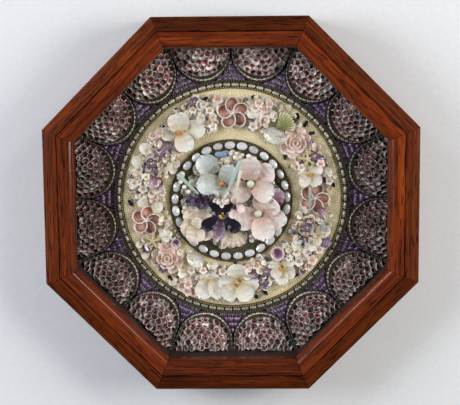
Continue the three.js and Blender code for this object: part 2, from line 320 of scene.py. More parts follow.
# The back board: one thin softwood board let in flush between the sides. Its grain runs up the picture.
# It is left bare, so it has dried to a dull brown.
def bare_wood(name, stops):
    """Bare softwood: streaks along Y some 4 mm wide, and a dusty grey bloom in patches."""
    made, shader = surface(name)
    place = node(made, "TexCoord", output="Object")
    streak_place = node(made, "Mapping", {"Vector": place, "Scale": repeats((4.1667, 142.86, 4.1667))})
    streaks = node(made, "TexNoise", {"Vector": streak_place, "Scale": 1, "Detail": 6})
    dust = node(made, "TexNoise", {"Vector": place, "Scale": repeats(40), "Detail": 4})
    streaked = node(made, "MapRange", {"Value": streaks, **noise_to(0, 1)})
    colour = node(made, "ValToRGB", {"Fac": streaked}, stops=stops)
    value = node(made, "MapRange", {"Value": dust, **noise_to(0.8, 1.1)})
    varied = node(made, "HueSaturation", {"Color": colour, "Value": value})
    rough = node(made, "MapRange", {"Value": dust, **noise_to(0.7, 0.9)})
    coat(made, shader, varied, rough, streaks, 0.3)
    return made


def finish_node(name, material):
    """Gives a CAD node that stays in view its material."""
    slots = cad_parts[name].data.materials
    slots.clear()
    slots.append(material)


finish_node("back_board", bare_wood("bare pine", {0: "#6d5233", 0.5: "#8b6b45", 1: "#a98a60"}))


# The bed and the liner: pasteboard. The bed closes the bottom of the picture and is covered in purple paper;
# the liner stands round it as the well's walls, in dark brown paper.
def papered_card(name, stops):
    """Papered card, matt: fibres half a millimetre long, and stains some 22 mm wide."""
    made, shader = surface(name)
    place = node(made, "TexCoord", output="Object")
    fibre = node(made, "TexNoise", {"Vector": place, "Scale": repeats(0.55556), "Detail": 3})
    stain = node(made, "TexNoise", {"Vector": place, "Scale": repeats(22.222), "Detail": 4})
    stained = node(made, "MapRange", {"Value": stain, **noise_to(0, 1)})
    colour = node(made, "ValToRGB", {"Fac": stained}, stops=stops)
    value = node(made, "MapRange", {"Value": fibre, **noise_to(0.85, 1.15)})
    varied = node(made, "HueSaturation", {"Color": colour, "Value": value})
    rough = node(made, "MapRange", {"Value": fibre, **noise_to(0.75, 0.9)})
    coat(made, shader, varied, rough, fibre, 0.1)
    return made


finish_node("bed", papered_card("purple paper on card", {0: "#2a1d38", 1: "#463358"}))
finish_node("liner", papered_card("brown paper on card", {0: "#2a1811", 1: "#402619"}))


# The purple ground: sea-urchin spines laid side by side on the bed, in the gap between each two arches.
# They lie in overlapping tiers that point to the middle, each glued by its thick end with its pale tip free.
PANEL = np.array([0.0, 2.6, 0.0])
BED_TOP = 10.3
ARCHES = 16
SECTOR = 2 * math.pi / ARCHES
ARCH_CENTRE = 120.4
ARCH_HEAD = ARCH_CENTRE * math.sin(SECTOR / 2)
SPINE_STEP = 0.8
SPINE_TIERS = [[97.0, 9.0], [100.9, 9.5], [105.4, 10.0], [110.4, 10.0]]
SPINE_TIP_HEIGHT = 1.6
SPINE_DROP = 1.0
SPINE_PITCH = -SPINE_DROP / 7
SPINE_GRIP = 2.5
SPINE_TUCK = 0.6
GAP_HALF_WIDTH = 16


def shell(name, stops, rough=(0.3, 0.5), mottle=0.1, drift=0.0, ridges=0.0, vary=0.14, values=None):
    """Sea shell: stops is the run of colour over each shell, mottled in patches some 2 mm wide.

    From shell to shell the run starts later by drift and the lightness changes by vary. ridges is how many
    growth lines cross the shell from hinge to rim.
    """
    made, shader = surface(name)
    along = node(made, "Attribute", output="Fac", attribute_name="along")
    tone = node(made, "Attribute", output="Fac", attribute_name="tone")
    place = node(made, "TexCoord", output="Object")
    patches = node(made, "TexNoise", {"Vector": place, "Scale": repeats(2.381), "Detail": 4})
    shift = node(made, "MapRange", {"Value": patches, **noise_to(-mottle, mottle)})
    mottled = node(made, "Math", {0: along, 1: shift}, operation="ADD")
    run = node(made, "Math", {0: tone, 1: drift, 2: mottled}, operation="MULTIPLY_ADD")
    colour = node(made, "ValToRGB", {"Fac": run}, stops=stops)
    value = node(made, "MapRange", {"Value": tone, "To Min": 1 - vary, "To Max": 1 + vary})
    varied = node(made, "HueSaturation", {"Color": colour, "Value": value})
    gloss = node(made, "MapRange", {"Value": patches, **noise_to(*rough)})
    line = node(made, "Math", {0: along, 1: 2 * math.pi * ridges}, operation="MULTIPLY")
    wave = node(made, "Math", {0: line}, operation="SINE")
    relief = node(made, "Math", {0: wave, 1: patches}, operation="ADD")
    coat(made, shader, varied, gloss, relief, 0.12, values)
    return made


def turned(profile, segments, along=None):
    """A form turned about Z from a (radius, height) profile that starts and ends on the axis.

    A profile that runs down the outside starts at its top end. along has one number for each of its points.
    """
    profile = np.array(profile, float)
    rings = profile[1:-1]
    angle = np.arange(segments) * 2 * math.pi / segments
    x = rings[:, :1] * np.cos(angle)
    y = rings[:, :1] * np.sin(angle)
    z = np.broadcast_to(rings[:, 1:], x.shape)
    poles = np.array([[0, 0, profile[0, 1]], [0, 0, profile[-1, 1]]])
    points = np.concatenate([np.stack([x, y, z], -1).reshape(-1, 3), poles])
    first, last = len(points) - 2, len(points) - 1
    ring = np.arange(segments)
    ahead = (ring + 1) % segments
    foot = (len(rings) - 1) * segments
    cap = np.stack([np.full(segments, first), ring, ahead], -1)
    base = np.stack([np.full(segments, last), ahead + foot, ring + foot], -1)
    tris = np.concatenate([lattice(len(rings), segments, wrap=True), cap, base])
    share = np.linspace(0, 1, len(profile)) if along is None else np.array(along, float)
    runs = np.concatenate([np.repeat(share[1:-1], segments), share[[0, -1]]])
    return Form(points, tris, runs, np.full(len(points), 0.5))


def lying(form):
    """The form laid down, so that what was its top points along +X."""
    x, y, z = form.points.T
    return form._replace(points=np.stack([z, y, -x], -1))


def turn(yaw, pitch=0.0, roll=0.0):
    """Turning matrices: roll about X, then pitch about Y, which dips +X, then yaw about Z, all in radians."""
    yaw, pitch, roll = np.broadcast_arrays(*(np.atleast_1d(a).astype(float) for a in (yaw, pitch, roll)))
    cy, sy, cp, sp, cr, sr = (f(a) for a in (yaw, pitch, roll) for f in (np.cos, np.sin))
    rows = [
        [cy * cp, cy * sp * sr - sy * cr, cy * sp * cr + sy * sr],
        [sy * cp, sy * sp * sr + cy * cr, sy * sp * cr - cy * sr],
        [-sp, cp * sr, cp * cr],
    ]
    return np.stack([np.stack(row, -1) for row in rows], -2)


def copies(form, places, turns, sizes=1.0, tones=None):
    """Copies of a form, each scaled, turned and moved to its place."""
    places = np.atleast_2d(np.array(places, float))
    count = len(places)
    axes = 1 if np.ndim(sizes) < 2 else np.shape(sizes)[1]
    sizes = np.broadcast_to(np.reshape(np.array(sizes, float), (-1, axes)), (count, 3))
    turns = np.broadcast_to(turns, (count, 3, 3))
    tones = rng.random(count) if tones is None else np.broadcast_to(tones, count)
    points = np.einsum("kij,knj->kni", turns, form.points[None] * sizes[:, None]) + places[:, None]
    tris = form.tris[None] + (np.arange(count) * len(form.points))[:, None, None]
    return Form(
        points.reshape(-1, 3),
        tris.reshape(-1, 3),
        np.tile(form.along, count),
        np.repeat(tones, len(form.points)),
    )


def together(*forms):
    """Several forms as one."""
    starts = np.cumsum([0] + [len(f.points) for f in forms[:-1]])
    return Form(
        np.concatenate([f.points for f in forms]),
        np.concatenate([f.tris + start for f, start in zip(forms, starts)]),
        np.concatenate([f.along for f in forms]),
        np.concatenate([f.tone for f in forms]),
    )


def around(radius, angle, height=0.0, centre=0.0):
    """Points at a radius, an angle and a height about a centre."""
    radius, angle, height = np.broadcast_arrays(radius, angle, height)
    return np.stack([radius * np.cos(angle), radius * np.sin(angle), height], -1) + centre


def spandrel_spines(gap):
    """The spines of one gap, tier by tier, clear of both arches.

    Each is the radius of its tip, its place sideways, its length and the number of the gap. It is clear when
    a point a little behind its tip is outside both arches, or tucked only just under them.
    """
    chosen = []
    for radius, length in SPINE_TIERS:
        sideways = np.arange(-GAP_HALF_WIDTH, GAP_HALF_WIDTH, SPINE_STEP) + rng.uniform(-0.25, 0.25, 1)
        reach = np.stack([np.full_like(sideways, radius + SPINE_GRIP), sideways * 0.9], -1)
        centre = ARCH_CENTRE * np.array([math.cos(SECTOR / 2), math.sin(SECTOR / 2)])
        clear = np.hypot(*(np.abs(reach) - centre).T) > ARCH_HEAD - SPINE_TUCK
        kept = sideways[clear]
        start = radius + rng.uniform(-0.5, 0.5, len(kept))
        chosen.append(np.stack([start, kept, np.full(len(kept), length), np.full(len(kept), gap)], -1))
    return np.concatenate(chosen)


spine = lying(turned([[0, 1], [0.3, 0.97], [0.5, 0.6], [0.5, 0], [0, 0]], 6, [1, 0.97, 0.6, 0, 0]))
spine_rows = np.concatenate([spandrel_spines(gap) for gap in range(ARCHES)])
spine_start, spine_side, spine_length, spine_gap = spine_rows.T
spine_count = len(spine_rows)
spine_angle = spine_gap * SECTOR + spine_side / spine_start
spine_fan = np.clip(spine_side * 0.03, -0.35, 0.35)
spine_lean = spine_angle + math.pi - spine_fan + rng.normal(0, 0.09, spine_count)
spine_tip = around(spine_start, spine_angle, BED_TOP + SPINE_TIP_HEIGHT, PANEL)
spine_foot = spine_tip - around(spine_length, spine_lean, SPINE_DROP)
spine_sizes = np.stack([spine_length, rng.uniform(0.75, 1.0, spine_count), np.full(spine_count, 0.9)], -1)
# Satin and nearly black at the thick end, paling to lilac at the tip.
purple_spine = shell(
    "purple urchin spine",
    {0: "#1e1120", 0.4: "#351d3b", 0.8: "#503156", 0.95: "#795d80", 1: "#c2b3c2"},
    drift=0.12,
    vary=0.4,
)
spines = copies(spine, spine_foot, turn(spine_lean, SPINE_PITCH), spine_sizes)
piece("urchin_spines", spines, purple_spine)


# The arches: sixteen bent strips of pasteboard, each standing on edge round its own arch of shells and
# narrowing to its feet. Along its top edge are glued three olive cords, one outside and two inside a row of
# silver-lined glass bugles.
STRIP_HEAD_WIDTH = 6.2
STRIP_FOOT_WIDTH = 1.5
STRIP_SPREAD = 17
INNER_SPREAD = 25
STRIP_TOP = 13.0
STRIP_STATIONS = 72
PAPER_GAP = 0.2
BUGLE_SHARE = 0.42
CORD_SHARES = (0.12, 0.7, 0.88)
CORD_RADIUS = 0.5
CORD_RISE = 0.2
CORNER_LEG = 22.0
MIDDLE_LEG = 11.2
HEAD_LENGTH = ARCH_HEAD * (math.pi - SECTOR)
BUGLE_STEP = 3.9
BUGLE_LENGTH = 3.3
BUGLE_THIN = 0.9
BUGLE_SWELL = 0.13
BUGLE_RISE = 0.7
BUGLE_MARGIN = 2
PAINTED_GLINT_SPREAD = 19


def arch_edge(travel, inset, arch):
    """Points on an arch and which way is out of it there. travel is millimetres from where its head starts.

    The arch is a leg down the sector's side, a round head towards the middle of the picture, then the other
    leg. On a leg, travel is below nothing or past the head's length.
    """
    on_head = np.clip(travel, 0, HEAD_LENGTH)
    past = travel - on_head
    angle = math.pi / 2 + SECTOR / 2 + on_head / ARCH_HEAD
    x = ARCH_CENTRE + (ARCH_HEAD - inset) * np.cos(angle) + np.abs(past) * math.cos(SECTOR / 2)
    y = (ARCH_HEAD - inset) * np.sin(angle) - past * math.sin(SECTOR / 2)
    axis = (arch + 0.5) * SECTOR
    along = np.array([math.cos(axis), math.sin(axis)])
    aside = np.array([-math.sin(axis), math.cos(axis)])
    return x[:, None] * along + y[:, None] * aside + PANEL[:2], angle + axis


def strip_width(travel, spread):
    """The strip's width in sight: widest at the arch's head, falling to its feet as a bell curve so broad."""
    fall = np.exp(-(((travel - HEAD_LENGTH / 2) / spread) ** 2))
    return STRIP_FOOT_WIDTH + (STRIP_HEAD_WIDTH - STRIP_FOOT_WIDTH) * fall


def leg_ends(arch):
    """Where an arch's path starts and ends. Its leg at a corner of the box is longer than the other."""
    legs = (CORNER_LEG, MIDDLE_LEG) if arch % 2 == 0 else (MIDDLE_LEG, CORNER_LEG)
    return -legs[0], HEAD_LENGTH + legs[1]


def travelled(path):
    """How far along a path each of its points is."""
    return np.concatenate([[0], np.cumsum(np.linalg.norm(np.diff(path, axis=0), axis=1))])


def drawn(path, profile, widths=1.0):
    """A closed bar: a (sideways, height) outline, counter-clockwise, drawn along a level path of (x, y).

    widths stretches the outline sideways, from point to point of the path.
    """
    heading = np.gradient(path, axis=0)
    heading /= np.linalg.norm(heading, axis=1, keepdims=True)
    side = np.stack([heading[:, 1], -heading[:, 0]], -1) * np.broadcast_to(widths, len(path))[:, None]
    profile = np.array(profile, float)
    flat = path[:, None] + side[:, None] * profile[None, :, :1]
    height = np.broadcast_to(profile[None, :, 1:], (*flat.shape[:2], 1))
    points = np.concatenate([flat, height], -1).reshape(-1, 3)
    run = np.repeat(travelled(path), len(profile))
    return Form(points, capped_tube(len(path), len(profile)), run, np.full(len(points), 0.5))


def round_outline(radius, height, sides=6):
    """A round outline at a height, for drawing a cord."""
    angle = np.arange(sides) * 2 * math.pi / sides
    return np.stack([radius * np.cos(angle), height + radius * np.sin(angle)], -1)


def square_outline(width, low, high):
    """A square-cut outline, for drawing a strip."""
    half = width / 2
    return [[-half, low], [half, low], [half, high], [-half, high]]


def cord(name, stops):
    """Twisted silk cord, its strands wound every 2 mm, which is coarser than real ones so that they show."""
    made, shader = surface(name)
    along = node(made, "Attribute", output="Fac", attribute_name="along")
    place = node(made, "TexCoord", output="Object")
    fuzz = node(made, "TexNoise", {"Vector": place, "Scale": repeats(1.1111), "Detail": 3})
    wound = node(made, "Math", {0: along, 1: math.pi}, operation="MULTIPLY")
    frayed = node(made, "Math", {0: fuzz, 1: 5.0, 2: wound}, operation="MULTIPLY_ADD")
    strand = node(made, "Math", {0: frayed}, operation="SINE")
    share = node(made, "MapRange", {"Value": strand, "From Min": -1})
    colour = node(made, "ValToRGB", {"Fac": share}, stops=stops)
    rough = node(made, "MapRange", {"Value": fuzz, **noise_to(0.5, 0.75)})
    coat(made, shader, colour, rough, strand, 0.2)
    return made


def silver_glass(name, stops, vary=0.3, mirror=0.45):
    """Silver-lined glass: bright grey over a mirror, clouded in spots 1.5 mm wide; a bead with a low tone is
    darker, which the bugles use for painted glint and shade.
    """
    made, shader = surface(name)
    tone = node(made, "Attribute", output="Fac", attribute_name="tone")
    place = node(made, "TexCoord", output="Object")
    spots = node(made, "TexNoise", {"Vector": place, "Scale": repeats(1.5385), "Detail": 3})
    spotted = node(made, "MapRange", {"Value": spots, **noise_to(0, 1)})
    colour = node(made, "ValToRGB", {"Fac": spotted}, stops=stops)
    value = node(made, "MapRange", {"Value": tone, "To Min": 1 - vary, "To Max": 1 + vary / 3})
    varied = node(made, "HueSaturation", {"Color": colour, "Value": value})
    rough = node(made, "MapRange", {"Value": spots, **noise_to(0.12, 0.32)})
    coat(made, shader, varied, rough, spots, 0.08, {"Metallic": mirror, "Coat Weight": 0.5})
    return made


# Dull olive all over: the paper is matt and the silk has a low sheen. The glass is painted bright at the arch
# heads and darker down the legs and on the side arches, as glint and shade.
strip_card = papered_card("olive paper on card", {0: "#1d170e", 1: "#332a1a"})
olive_cord = cord("olive silk cord", {0: "#1a140a", 0.6: "#3f341f", 1: "#6e5d3c"})
arch_glass = silver_glass("bugle glass with painted glints", {0: "#a8a28a", 0.5: "#d0cdbd", 1: "#f4f3ec"}, 0.8, 0.25)
strip_parts = []
cord_parts = []
bugle_rows = []
for arch in range(ARCHES):
    start, end = leg_ends(arch)
    travel = np.linspace(start, end, STRIP_STATIONS)
    inner = strip_width(travel, INNER_SPREAD)
    width = strip_width(travel, STRIP_SPREAD)
    middle = arch_edge(travel, inner - width / 2, arch)[0]
    strip_parts.append(drawn(middle, square_outline(1.0, BED_TOP, STRIP_TOP), width - PAPER_GAP))
    for share in CORD_SHARES:
        edge = arch_edge(travel, inner - (1 - share) * width, arch)[0]
        cord_outline = round_outline(CORD_RADIUS, STRIP_TOP + CORD_RISE)
        cord_parts.append(drawn(edge, cord_outline, np.clip(width / 4, 0.5, 1)))
    bead_travel = np.arange(start + BUGLE_MARGIN, end - BUGLE_MARGIN, BUGLE_STEP)
    bead_width = strip_width(bead_travel, STRIP_SPREAD)
    bead_inset = strip_width(bead_travel, INNER_SPREAD) - (1 - BUGLE_SHARE) * bead_width
    bead_spot, bead_out = arch_edge(bead_travel, bead_inset, arch)
    # Painted glint and shade: the bugles of the side arches get a low tone, so they come out darker.
    painted_glint = np.full(len(bead_travel), 0.2 + 0.8 * abs(math.sin((arch + 0.5) * SECTOR)))
    bugle_rows.append(np.column_stack([bead_spot, bead_out, bead_travel, painted_glint]))

piece("arch_strips", together(*strip_parts), strip_card, ["scalloped_strip"])
piece("arch_cords", together(*cord_parts), olive_cord)
bugle = lying(turned([[0, 0.5], [0.3, 0.47], [0.49, 0.32], [0.49, -0.32], [0.3, -0.47], [0, -0.5]], 8))
bugle_x, bugle_y, bugle_out, bugle_travel, bugle_painted_glint = np.concatenate(bugle_rows).T
bugle_count = len(bugle_travel)
bugle_places = np.column_stack([bugle_x, bugle_y, np.full(bugle_count, STRIP_TOP + BUGLE_RISE)])
bugle_yaw = bugle_out + math.pi / 2 + rng.normal(0, 0.06, bugle_count)
bugle_thick = BUGLE_THIN + BUGLE_SWELL * strip_width(bugle_travel, INNER_SPREAD)
bugle_sizes = np.stack([np.full(bugle_count, BUGLE_LENGTH), bugle_thick, bugle_thick], -1)
# Painted glint: the tone falls from the head of each arch down its legs, so the bugles darken there.
bugle_painted_fall = np.exp(-(((bugle_travel - HEAD_LENGTH / 2) / PAINTED_GLINT_SPREAD) ** 2))
bugle_tones = bugle_painted_fall * rng.uniform(0.65, 1.0, bugle_count) * bugle_painted_glint
arch_bugles = copies(bugle, bugle_places, turn(bugle_yaw), bugle_sizes, bugle_tones)
piece("arch_bugles", arch_bugles, arch_glass, sharp=75)


# The arch fillings: small pink cup shells, about forty-five to an arch, glued like roof tiles into a domed
# heap. Each cup opens outwards and down the slope, so that its pink hollow, pale rim and grey back all show.
CUP_PITCH = 5.3
CUP_RADIUS = 3.1
CUP_TILTS = [1.15, 1.08, 1.0, 0.88, 0.65, 0.25]
CUP_HEIGHTS = [3.0, 5.4, 7.4, 9.0, 10.0, 10.6]
CUP_FROM_STRIP = 1.4
HEAP_FROM_WALL = 5.5
WALL_CUPS = np.array([0.3, 0.42, 0.54, 0.66])
WALL_CUP_TILT = 0.8
WALL_CUP_HEIGHT = 7.0
WALL_CUP_INSET = 2.6
WALL_INRADIUS = 130.2
WALL_MARGIN = 1.8
SMALLEST_RING = 0.02
CUP_EASE = 0.18
TOP_EASE = 0.22

# Glossy: a rose-red hollow, a white lip and a grey back, each cup a little redder or paler than the next.
cup_hollow = {0: "#5c5050", 0.1: "#4a3634", 0.22: "#8a2e34", 0.34: "#b26264"}
cup_lip = {0.43: "#dccfc7", 0.49: "#fbf7ef", 0.66: "#f8f4eb"}
cup_back = {0.73: "#c6beb7", 0.85: "#8a827c", 1: "#544d48"}
cup_shell = shell(
    "pink cup shell",
    cup_hollow | cup_lip | cup_back,
    rough=(0.2, 0.4),
    drift=0.14,
    vary=0.46,
)
cup = turned(
    [[0, -0.7], [0.62, -0.5], [0.9, 0.0], [1.02, 0.04], [0.9, -0.8], [0, -1.45]],
    9,
    [0.14, 0.3, 0.48, 0.62, 0.78, 0.9],
)
# The far side of the hollow is in shade, so the run of colour starts earlier there.
darker = np.where(cup.along < 0.5, 0.28 * np.clip(0.45 - cup.points[:, 0], 0, 1), 0)
cup = cup._replace(along=cup.along - darker)


def within_wall(points, inradius):
    """Which (x, y) points lie inside an octagon of that inradius about the panel's middle."""
    normal = np.arange(SIDES) * SIDE_TURN
    away = (points - PANEL[:2]) @ np.stack([np.cos(normal), np.sin(normal)])
    return away.max(axis=1) < inradius


def cup_row(spot, out, tilt, height, bright):
    """Cups set down at (x, y) spots, each opening towards its own out and leaning over by about the tilt."""
    kept = within_wall(spot, WALL_INRADIUS - WALL_MARGIN)
    spot, out = spot[kept], out[kept]
    count = len(spot)
    places = np.column_stack([spot, BED_TOP + height + rng.normal(0, 0.3, count)])
    yaw = out + rng.normal(0, 0.12, count)
    pitch = tilt + rng.normal(0, 0.1, count)
    turns = turn(yaw, pitch, rng.normal(0, 0.1, count))
    sizes = CUP_RADIUS * rng.uniform(0.9, 1.1, (count, 1)) * np.array([[1.05, 1.0, 1.0]])
    # bright carries the arch's painted light and shade, times a random difference between cups.
    row = copies(cup, places, turns, sizes, bright * rng.random(count))
    redder = np.repeat(rng.uniform(-0.12, 0.14, count), len(cup.points))
    return row._replace(along=np.where(row.along < 0.5, row.along + redder, row.along))


def arch_filling(arch):
    """Every cup of one arch: rings that shrink from the strip towards the top of the heap, close to the wall.

    A ring is the line along the strip, scaled about the top of the heap; its cups stand a pitch apart on it.
    """
    travel = np.linspace(*leg_ends(arch), 200)
    line = arch_edge(travel, strip_width(travel, INNER_SPREAD) + CUP_FROM_STRIP, arch)[0]
    axis = (arch + 0.5) * SECTOR
    inwards = -np.array([math.cos(axis), math.sin(axis)])
    top = (line[0] + line[-1]) / 2 + HEAP_FROM_WALL * inwards
    run = travelled(line)
    # Painted light and shade: the cups of the side arches get the lowest tone and those of the top arches the
    # highest, so the side arches come out darker.
    bright = abs(math.sin(axis)) ** 1.5 * (0.75 + 0.75 * max(math.sin(axis), 0.0))
    foot = line[0] + WALL_CUPS[:, None] * (line[-1] - line[0]) + WALL_CUP_INSET * inwards
    rings = [cup_row(foot, np.full(len(foot), axis), WALL_CUP_TILT, WALL_CUP_HEIGHT, bright)]
    for ring, (tilt, height) in enumerate(zip(CUP_TILTS, CUP_HEIGHTS)):
        scale = max(1 - ring / (len(CUP_TILTS) - 1), SMALLEST_RING)
        count = max(round(scale * run[-1] / CUP_PITCH), 1)
        share = (np.arange(count) + 0.5) / count * run[-1]
        reach = np.stack([np.interp(share, run, line[:, 0]), np.interp(share, run, line[:, 1])], -1) - top
        spot = top + scale * reach + rng.normal(0, 0.2, (count, 2))
        eased_tilt = tilt * (1 - CUP_EASE - TOP_EASE * max(math.sin(axis), 0.0))
        rings.append(cup_row(spot, np.arctan2(reach[:, 1], reach[:, 0]), eased_tilt, height, bright))
    return together(*rings)


for arch in range(ARCHES):
    heap_name, node_name = f"arch_filling_{arch + 1}", f"arch_shells_{arch + 1}"
    piece(heap_name, arch_filling(arch), cup_shell, [node_name], sharp=60)


# The outer ring: a band of card round the cream ground, with a gold cord along its inside and two olive cords
# along its outside. Between them lies one row of long silver-lined glass bugles, threaded end to end.
RING_RADIUS = 93.6
RING_HALF_WIDTH = 2.9
RING_TOP = 12.9
RING_BUGLES = 86
RING_BUGLE_SIZE = [[6.0, 2.8, 2.8]]
RING_BUGLE_RISE = 0.9
OLIVE_OFFSETS = (2.1, 3.3)
OLIVE_RADIUS = 0.75
GOLD_OFFSET = -2.2
GOLD_RADIUS = 0.8
RING_CORD_RISE = 0.3


def hoop(radius, profile, centre=PANEL, steps=160):
    """A closed ring: a (sideways, height) outline carried round a circle."""
    angle = np.arange(steps) * 2 * math.pi / steps
    profile = np.array(profile, float)
    out = radius + profile[None, :, 0]
    height = np.broadcast_to(profile[None, :, 1], (steps, len(profile)))
    x = out * np.cos(angle)[:, None] + centre[0]
    y = out * np.sin(angle)[:, None] + centre[1]
    points = np.stack([x, y, height], -1)
    tris = lattice(steps + 1, len(profile), wrap=True) % (steps * len(profile))
    run = np.repeat(angle * radius, len(profile))
    count = steps * len(profile)
    return Form(points.reshape(-1, 3), tris, run, np.full(count, 0.5))


ring_band = hoop(RING_RADIUS, square_outline(2 * RING_HALF_WIDTH - PAPER_GAP, BED_TOP, RING_TOP))
piece("ring_band", ring_band, strip_card, ["outer_ring"])
olive_outline = round_outline(OLIVE_RADIUS, RING_TOP + RING_CORD_RISE)
ring_cords = [hoop(RING_RADIUS + offset, olive_outline) for offset in OLIVE_OFFSETS]
piece("ring_cords", together(*ring_cords), olive_cord)
# Silk wound with gilt that has faded to straw and brown.
gold_cord = cord("faded gold cord", {0: "#3a2d16", 0.6: "#7a6738", 1: "#b8a268"})
gold_outline = round_outline(GOLD_RADIUS, RING_TOP + RING_CORD_RISE)
piece("ring_gold_cord", hoop(RING_RADIUS + GOLD_OFFSET, gold_outline), gold_cord)
ring_angle = np.arange(RING_BUGLES) * 2 * math.pi / RING_BUGLES
ring_places = around(RING_RADIUS, ring_angle, RING_TOP + RING_BUGLE_RISE, PANEL)
ring_turns = turn(ring_angle + math.pi / 2 + rng.normal(0, 0.03, RING_BUGLES))
# Painted glint: the bugles at the top of the ring get the highest tone and those at the sides and bottom a
# low one, so they come out darker.
ring_painted_glint = np.clip(0.5 + 0.5 * np.sin(ring_angle), 0.42, 1) * rng.uniform(0.6, 1.0, RING_BUGLES)
ring_bugles = copies(bugle, ring_places, ring_turns, RING_BUGLE_SIZE, ring_painted_glint)
piece("ring_bugles", ring_bugles, arch_glass, sharp=75)


# The cream ground: a disc of card covered with rows of tiny rice shells, each about 2 mm long and glued flat.
# The rows run round the picture, from the outer ring in to the medallion. They are painted browner at both
# edges, as shade beside the raised rings.
GROUND_RADIUS = 90.3
GROUND_TOP = 12.0
RICE_FIRST = 50.6
RICE_PITCH = 1.5
RICE_LENGTH = 2.3
RICE_EDGE = 0.8
INNER_SHADE = (51.0, 14.0)
OUTER_SHADE = (91.4, 4.0)

# Waxy cream, a little yellow at the thick end of each shell. Shells with a low tone are darker, which paints
# the shade at the ground's edges as well as random differences.
cream_shell = shell(
    "cream rice shell",
    {0: "#bca66c", 0.4: "#e8d9ac", 0.75: "#f4e9c6", 1: "#fbf4de"},
    rough=(0.35, 0.55),
    vary=0.24,
)
ground_rim = [[0, GROUND_TOP], [GROUND_RADIUS, GROUND_TOP], [GROUND_RADIUS, BED_TOP], [0, BED_TOP]]
ground_disc = turned(ground_rim, 120, [0.45, 0.45, 0.3, 0.3])
ground_disc = ground_disc._replace(points=ground_disc.points + PANEL)
rice = turned([[0, 0.5], [0.7, 0.28], [1, -0.2], [0, -0.2]], 6, [1, 0.7, 0.2, 0.2])
rice_parts = []
for row_radius in np.arange(RICE_FIRST, GROUND_RADIUS - RICE_EDGE, RICE_PITCH):
    count = int(2 * math.pi * row_radius / RICE_LENGTH)
    rice_angle = (np.arange(count) + rng.random() + rng.normal(0, 0.08, count)) * 2 * math.pi / count
    rice_places = around(row_radius + rng.normal(0, 0.12, count), rice_angle, GROUND_TOP, PANEL)
    rice_turns = turn(rice_angle + math.pi / 2 + rng.normal(0, 0.12, count))
    rice_sizes = np.array([[RICE_LENGTH * 0.5, 0.72, 1.1]]) * rng.uniform(0.85, 1.1, (count, 1))
    # Painted shade: the rows nearest the medallion and the outer ring get a low tone, so they come out
    # browner.
    inside = np.clip((row_radius - INNER_SHADE[0]) / INNER_SHADE[1], 0, 1)
    outside = np.clip((OUTER_SHADE[0] - row_radius) / OUTER_SHADE[1], 0.4, 1)
    rice_tones = 0.45 * rng.random(count) + 0.55 * inside * outside
    rice_parts.append(copies(rice, rice_places, rice_turns, rice_sizes, rice_tones))
piece("rice_ground", together(ground_disc, *rice_parts), cream_shell, ["cream_ground"])


# The medallion ring: a dark band edged with two gilt cords, round the bouquet. Large oval glass beads,
# silvered inside and cut with facets, are threaded end to end and sewn on. The card inside it is moss brown,
# partly for weed and partly as painted shade between the flowers.
MEDALLION = PANEL + np.array([-1.0, -0.9, 0.0])
BAND_CENTRE = MEDALLION + np.array([0.3, -1.3, 0.0])
BAND_RADIUS = 46.2
BAND_TOP = 13.6
BAND_WIDTH = 9.4
BAND_LIFT = 0.1
GILT_OFFSETS = (-4.2, 4.2)
GILT_RADIUS = 0.7
WELL_RADIUS = 41.6
WELL_TOP = 12.7
WELL_FOOT = 12.1
OVAL_BEADS = 29
OVAL_SIZE = np.array([[8.9, 6.5, 4.8]])
OVAL_RISE = 1.5

# Matt paper in dark browns, and silk wound with gilt that has turned brown.
dark_band = papered_card("dark brown velvet paper", {0: "#40371f", 1: "#62563a"})
gilt_cord = cord("tarnished gilt cord", {0: "#1c160b", 0.65: "#483a1d", 1: "#8f773f"})
# Grey olive card under the bouquet: partly weed colour and partly painted shade between the flowers.
moss_and_shade_card = papered_card("dark moss paper with painted shade", {0: "#46463a", 1: "#706e5a"})
band = hoop(BAND_RADIUS, square_outline(BAND_WIDTH, GROUND_TOP + BAND_LIFT, BAND_TOP), BAND_CENTRE)
piece("medallion_band", band, dark_band, ["medallion_ring"])
well_profile = [[0, WELL_TOP], [WELL_RADIUS, WELL_TOP], [WELL_RADIUS, WELL_FOOT], [0, WELL_FOOT]]
well = turned(well_profile, 80)
piece("medallion_well", well._replace(points=well.points + BAND_CENTRE), moss_and_shade_card)
gilt_outline = round_outline(GILT_RADIUS, BAND_TOP + CORD_RISE)
band_cords = [hoop(BAND_RADIUS + offset, gilt_outline, BAND_CENTRE) for offset in GILT_OFFSETS]
piece("medallion_cords", together(*band_cords), gilt_cord)
oval_turn = np.linspace(0, math.pi, 6)
oval = lying(turned(np.stack([np.sin(oval_turn), np.cos(oval_turn)], -1) * 0.5, 9))
oval_angle = (np.arange(OVAL_BEADS) + 0.3) * 2 * math.pi / OVAL_BEADS
oval_places = around(BAND_RADIUS, oval_angle, BAND_TOP + OVAL_RISE, BAND_CENTRE)
# Nearly white and clear: the mirror is bright behind the facets.
oval_glass = silver_glass("silvered oval glass", {0: "#c9cfd0", 0.5: "#eceeee", 1: "#ffffff"}, mirror=0.1)
oval_turns = turn(oval_angle + math.pi / 2 + rng.normal(0, 0.06, OVAL_BEADS))
oval_sizes = OVAL_SIZE * rng.uniform(0.93, 1.06, (OVAL_BEADS, 1))
ovals = copies(oval, oval_places, oval_turns, oval_sizes)
piece("medallion_beads", ovals, oval_glass, sharp=24)


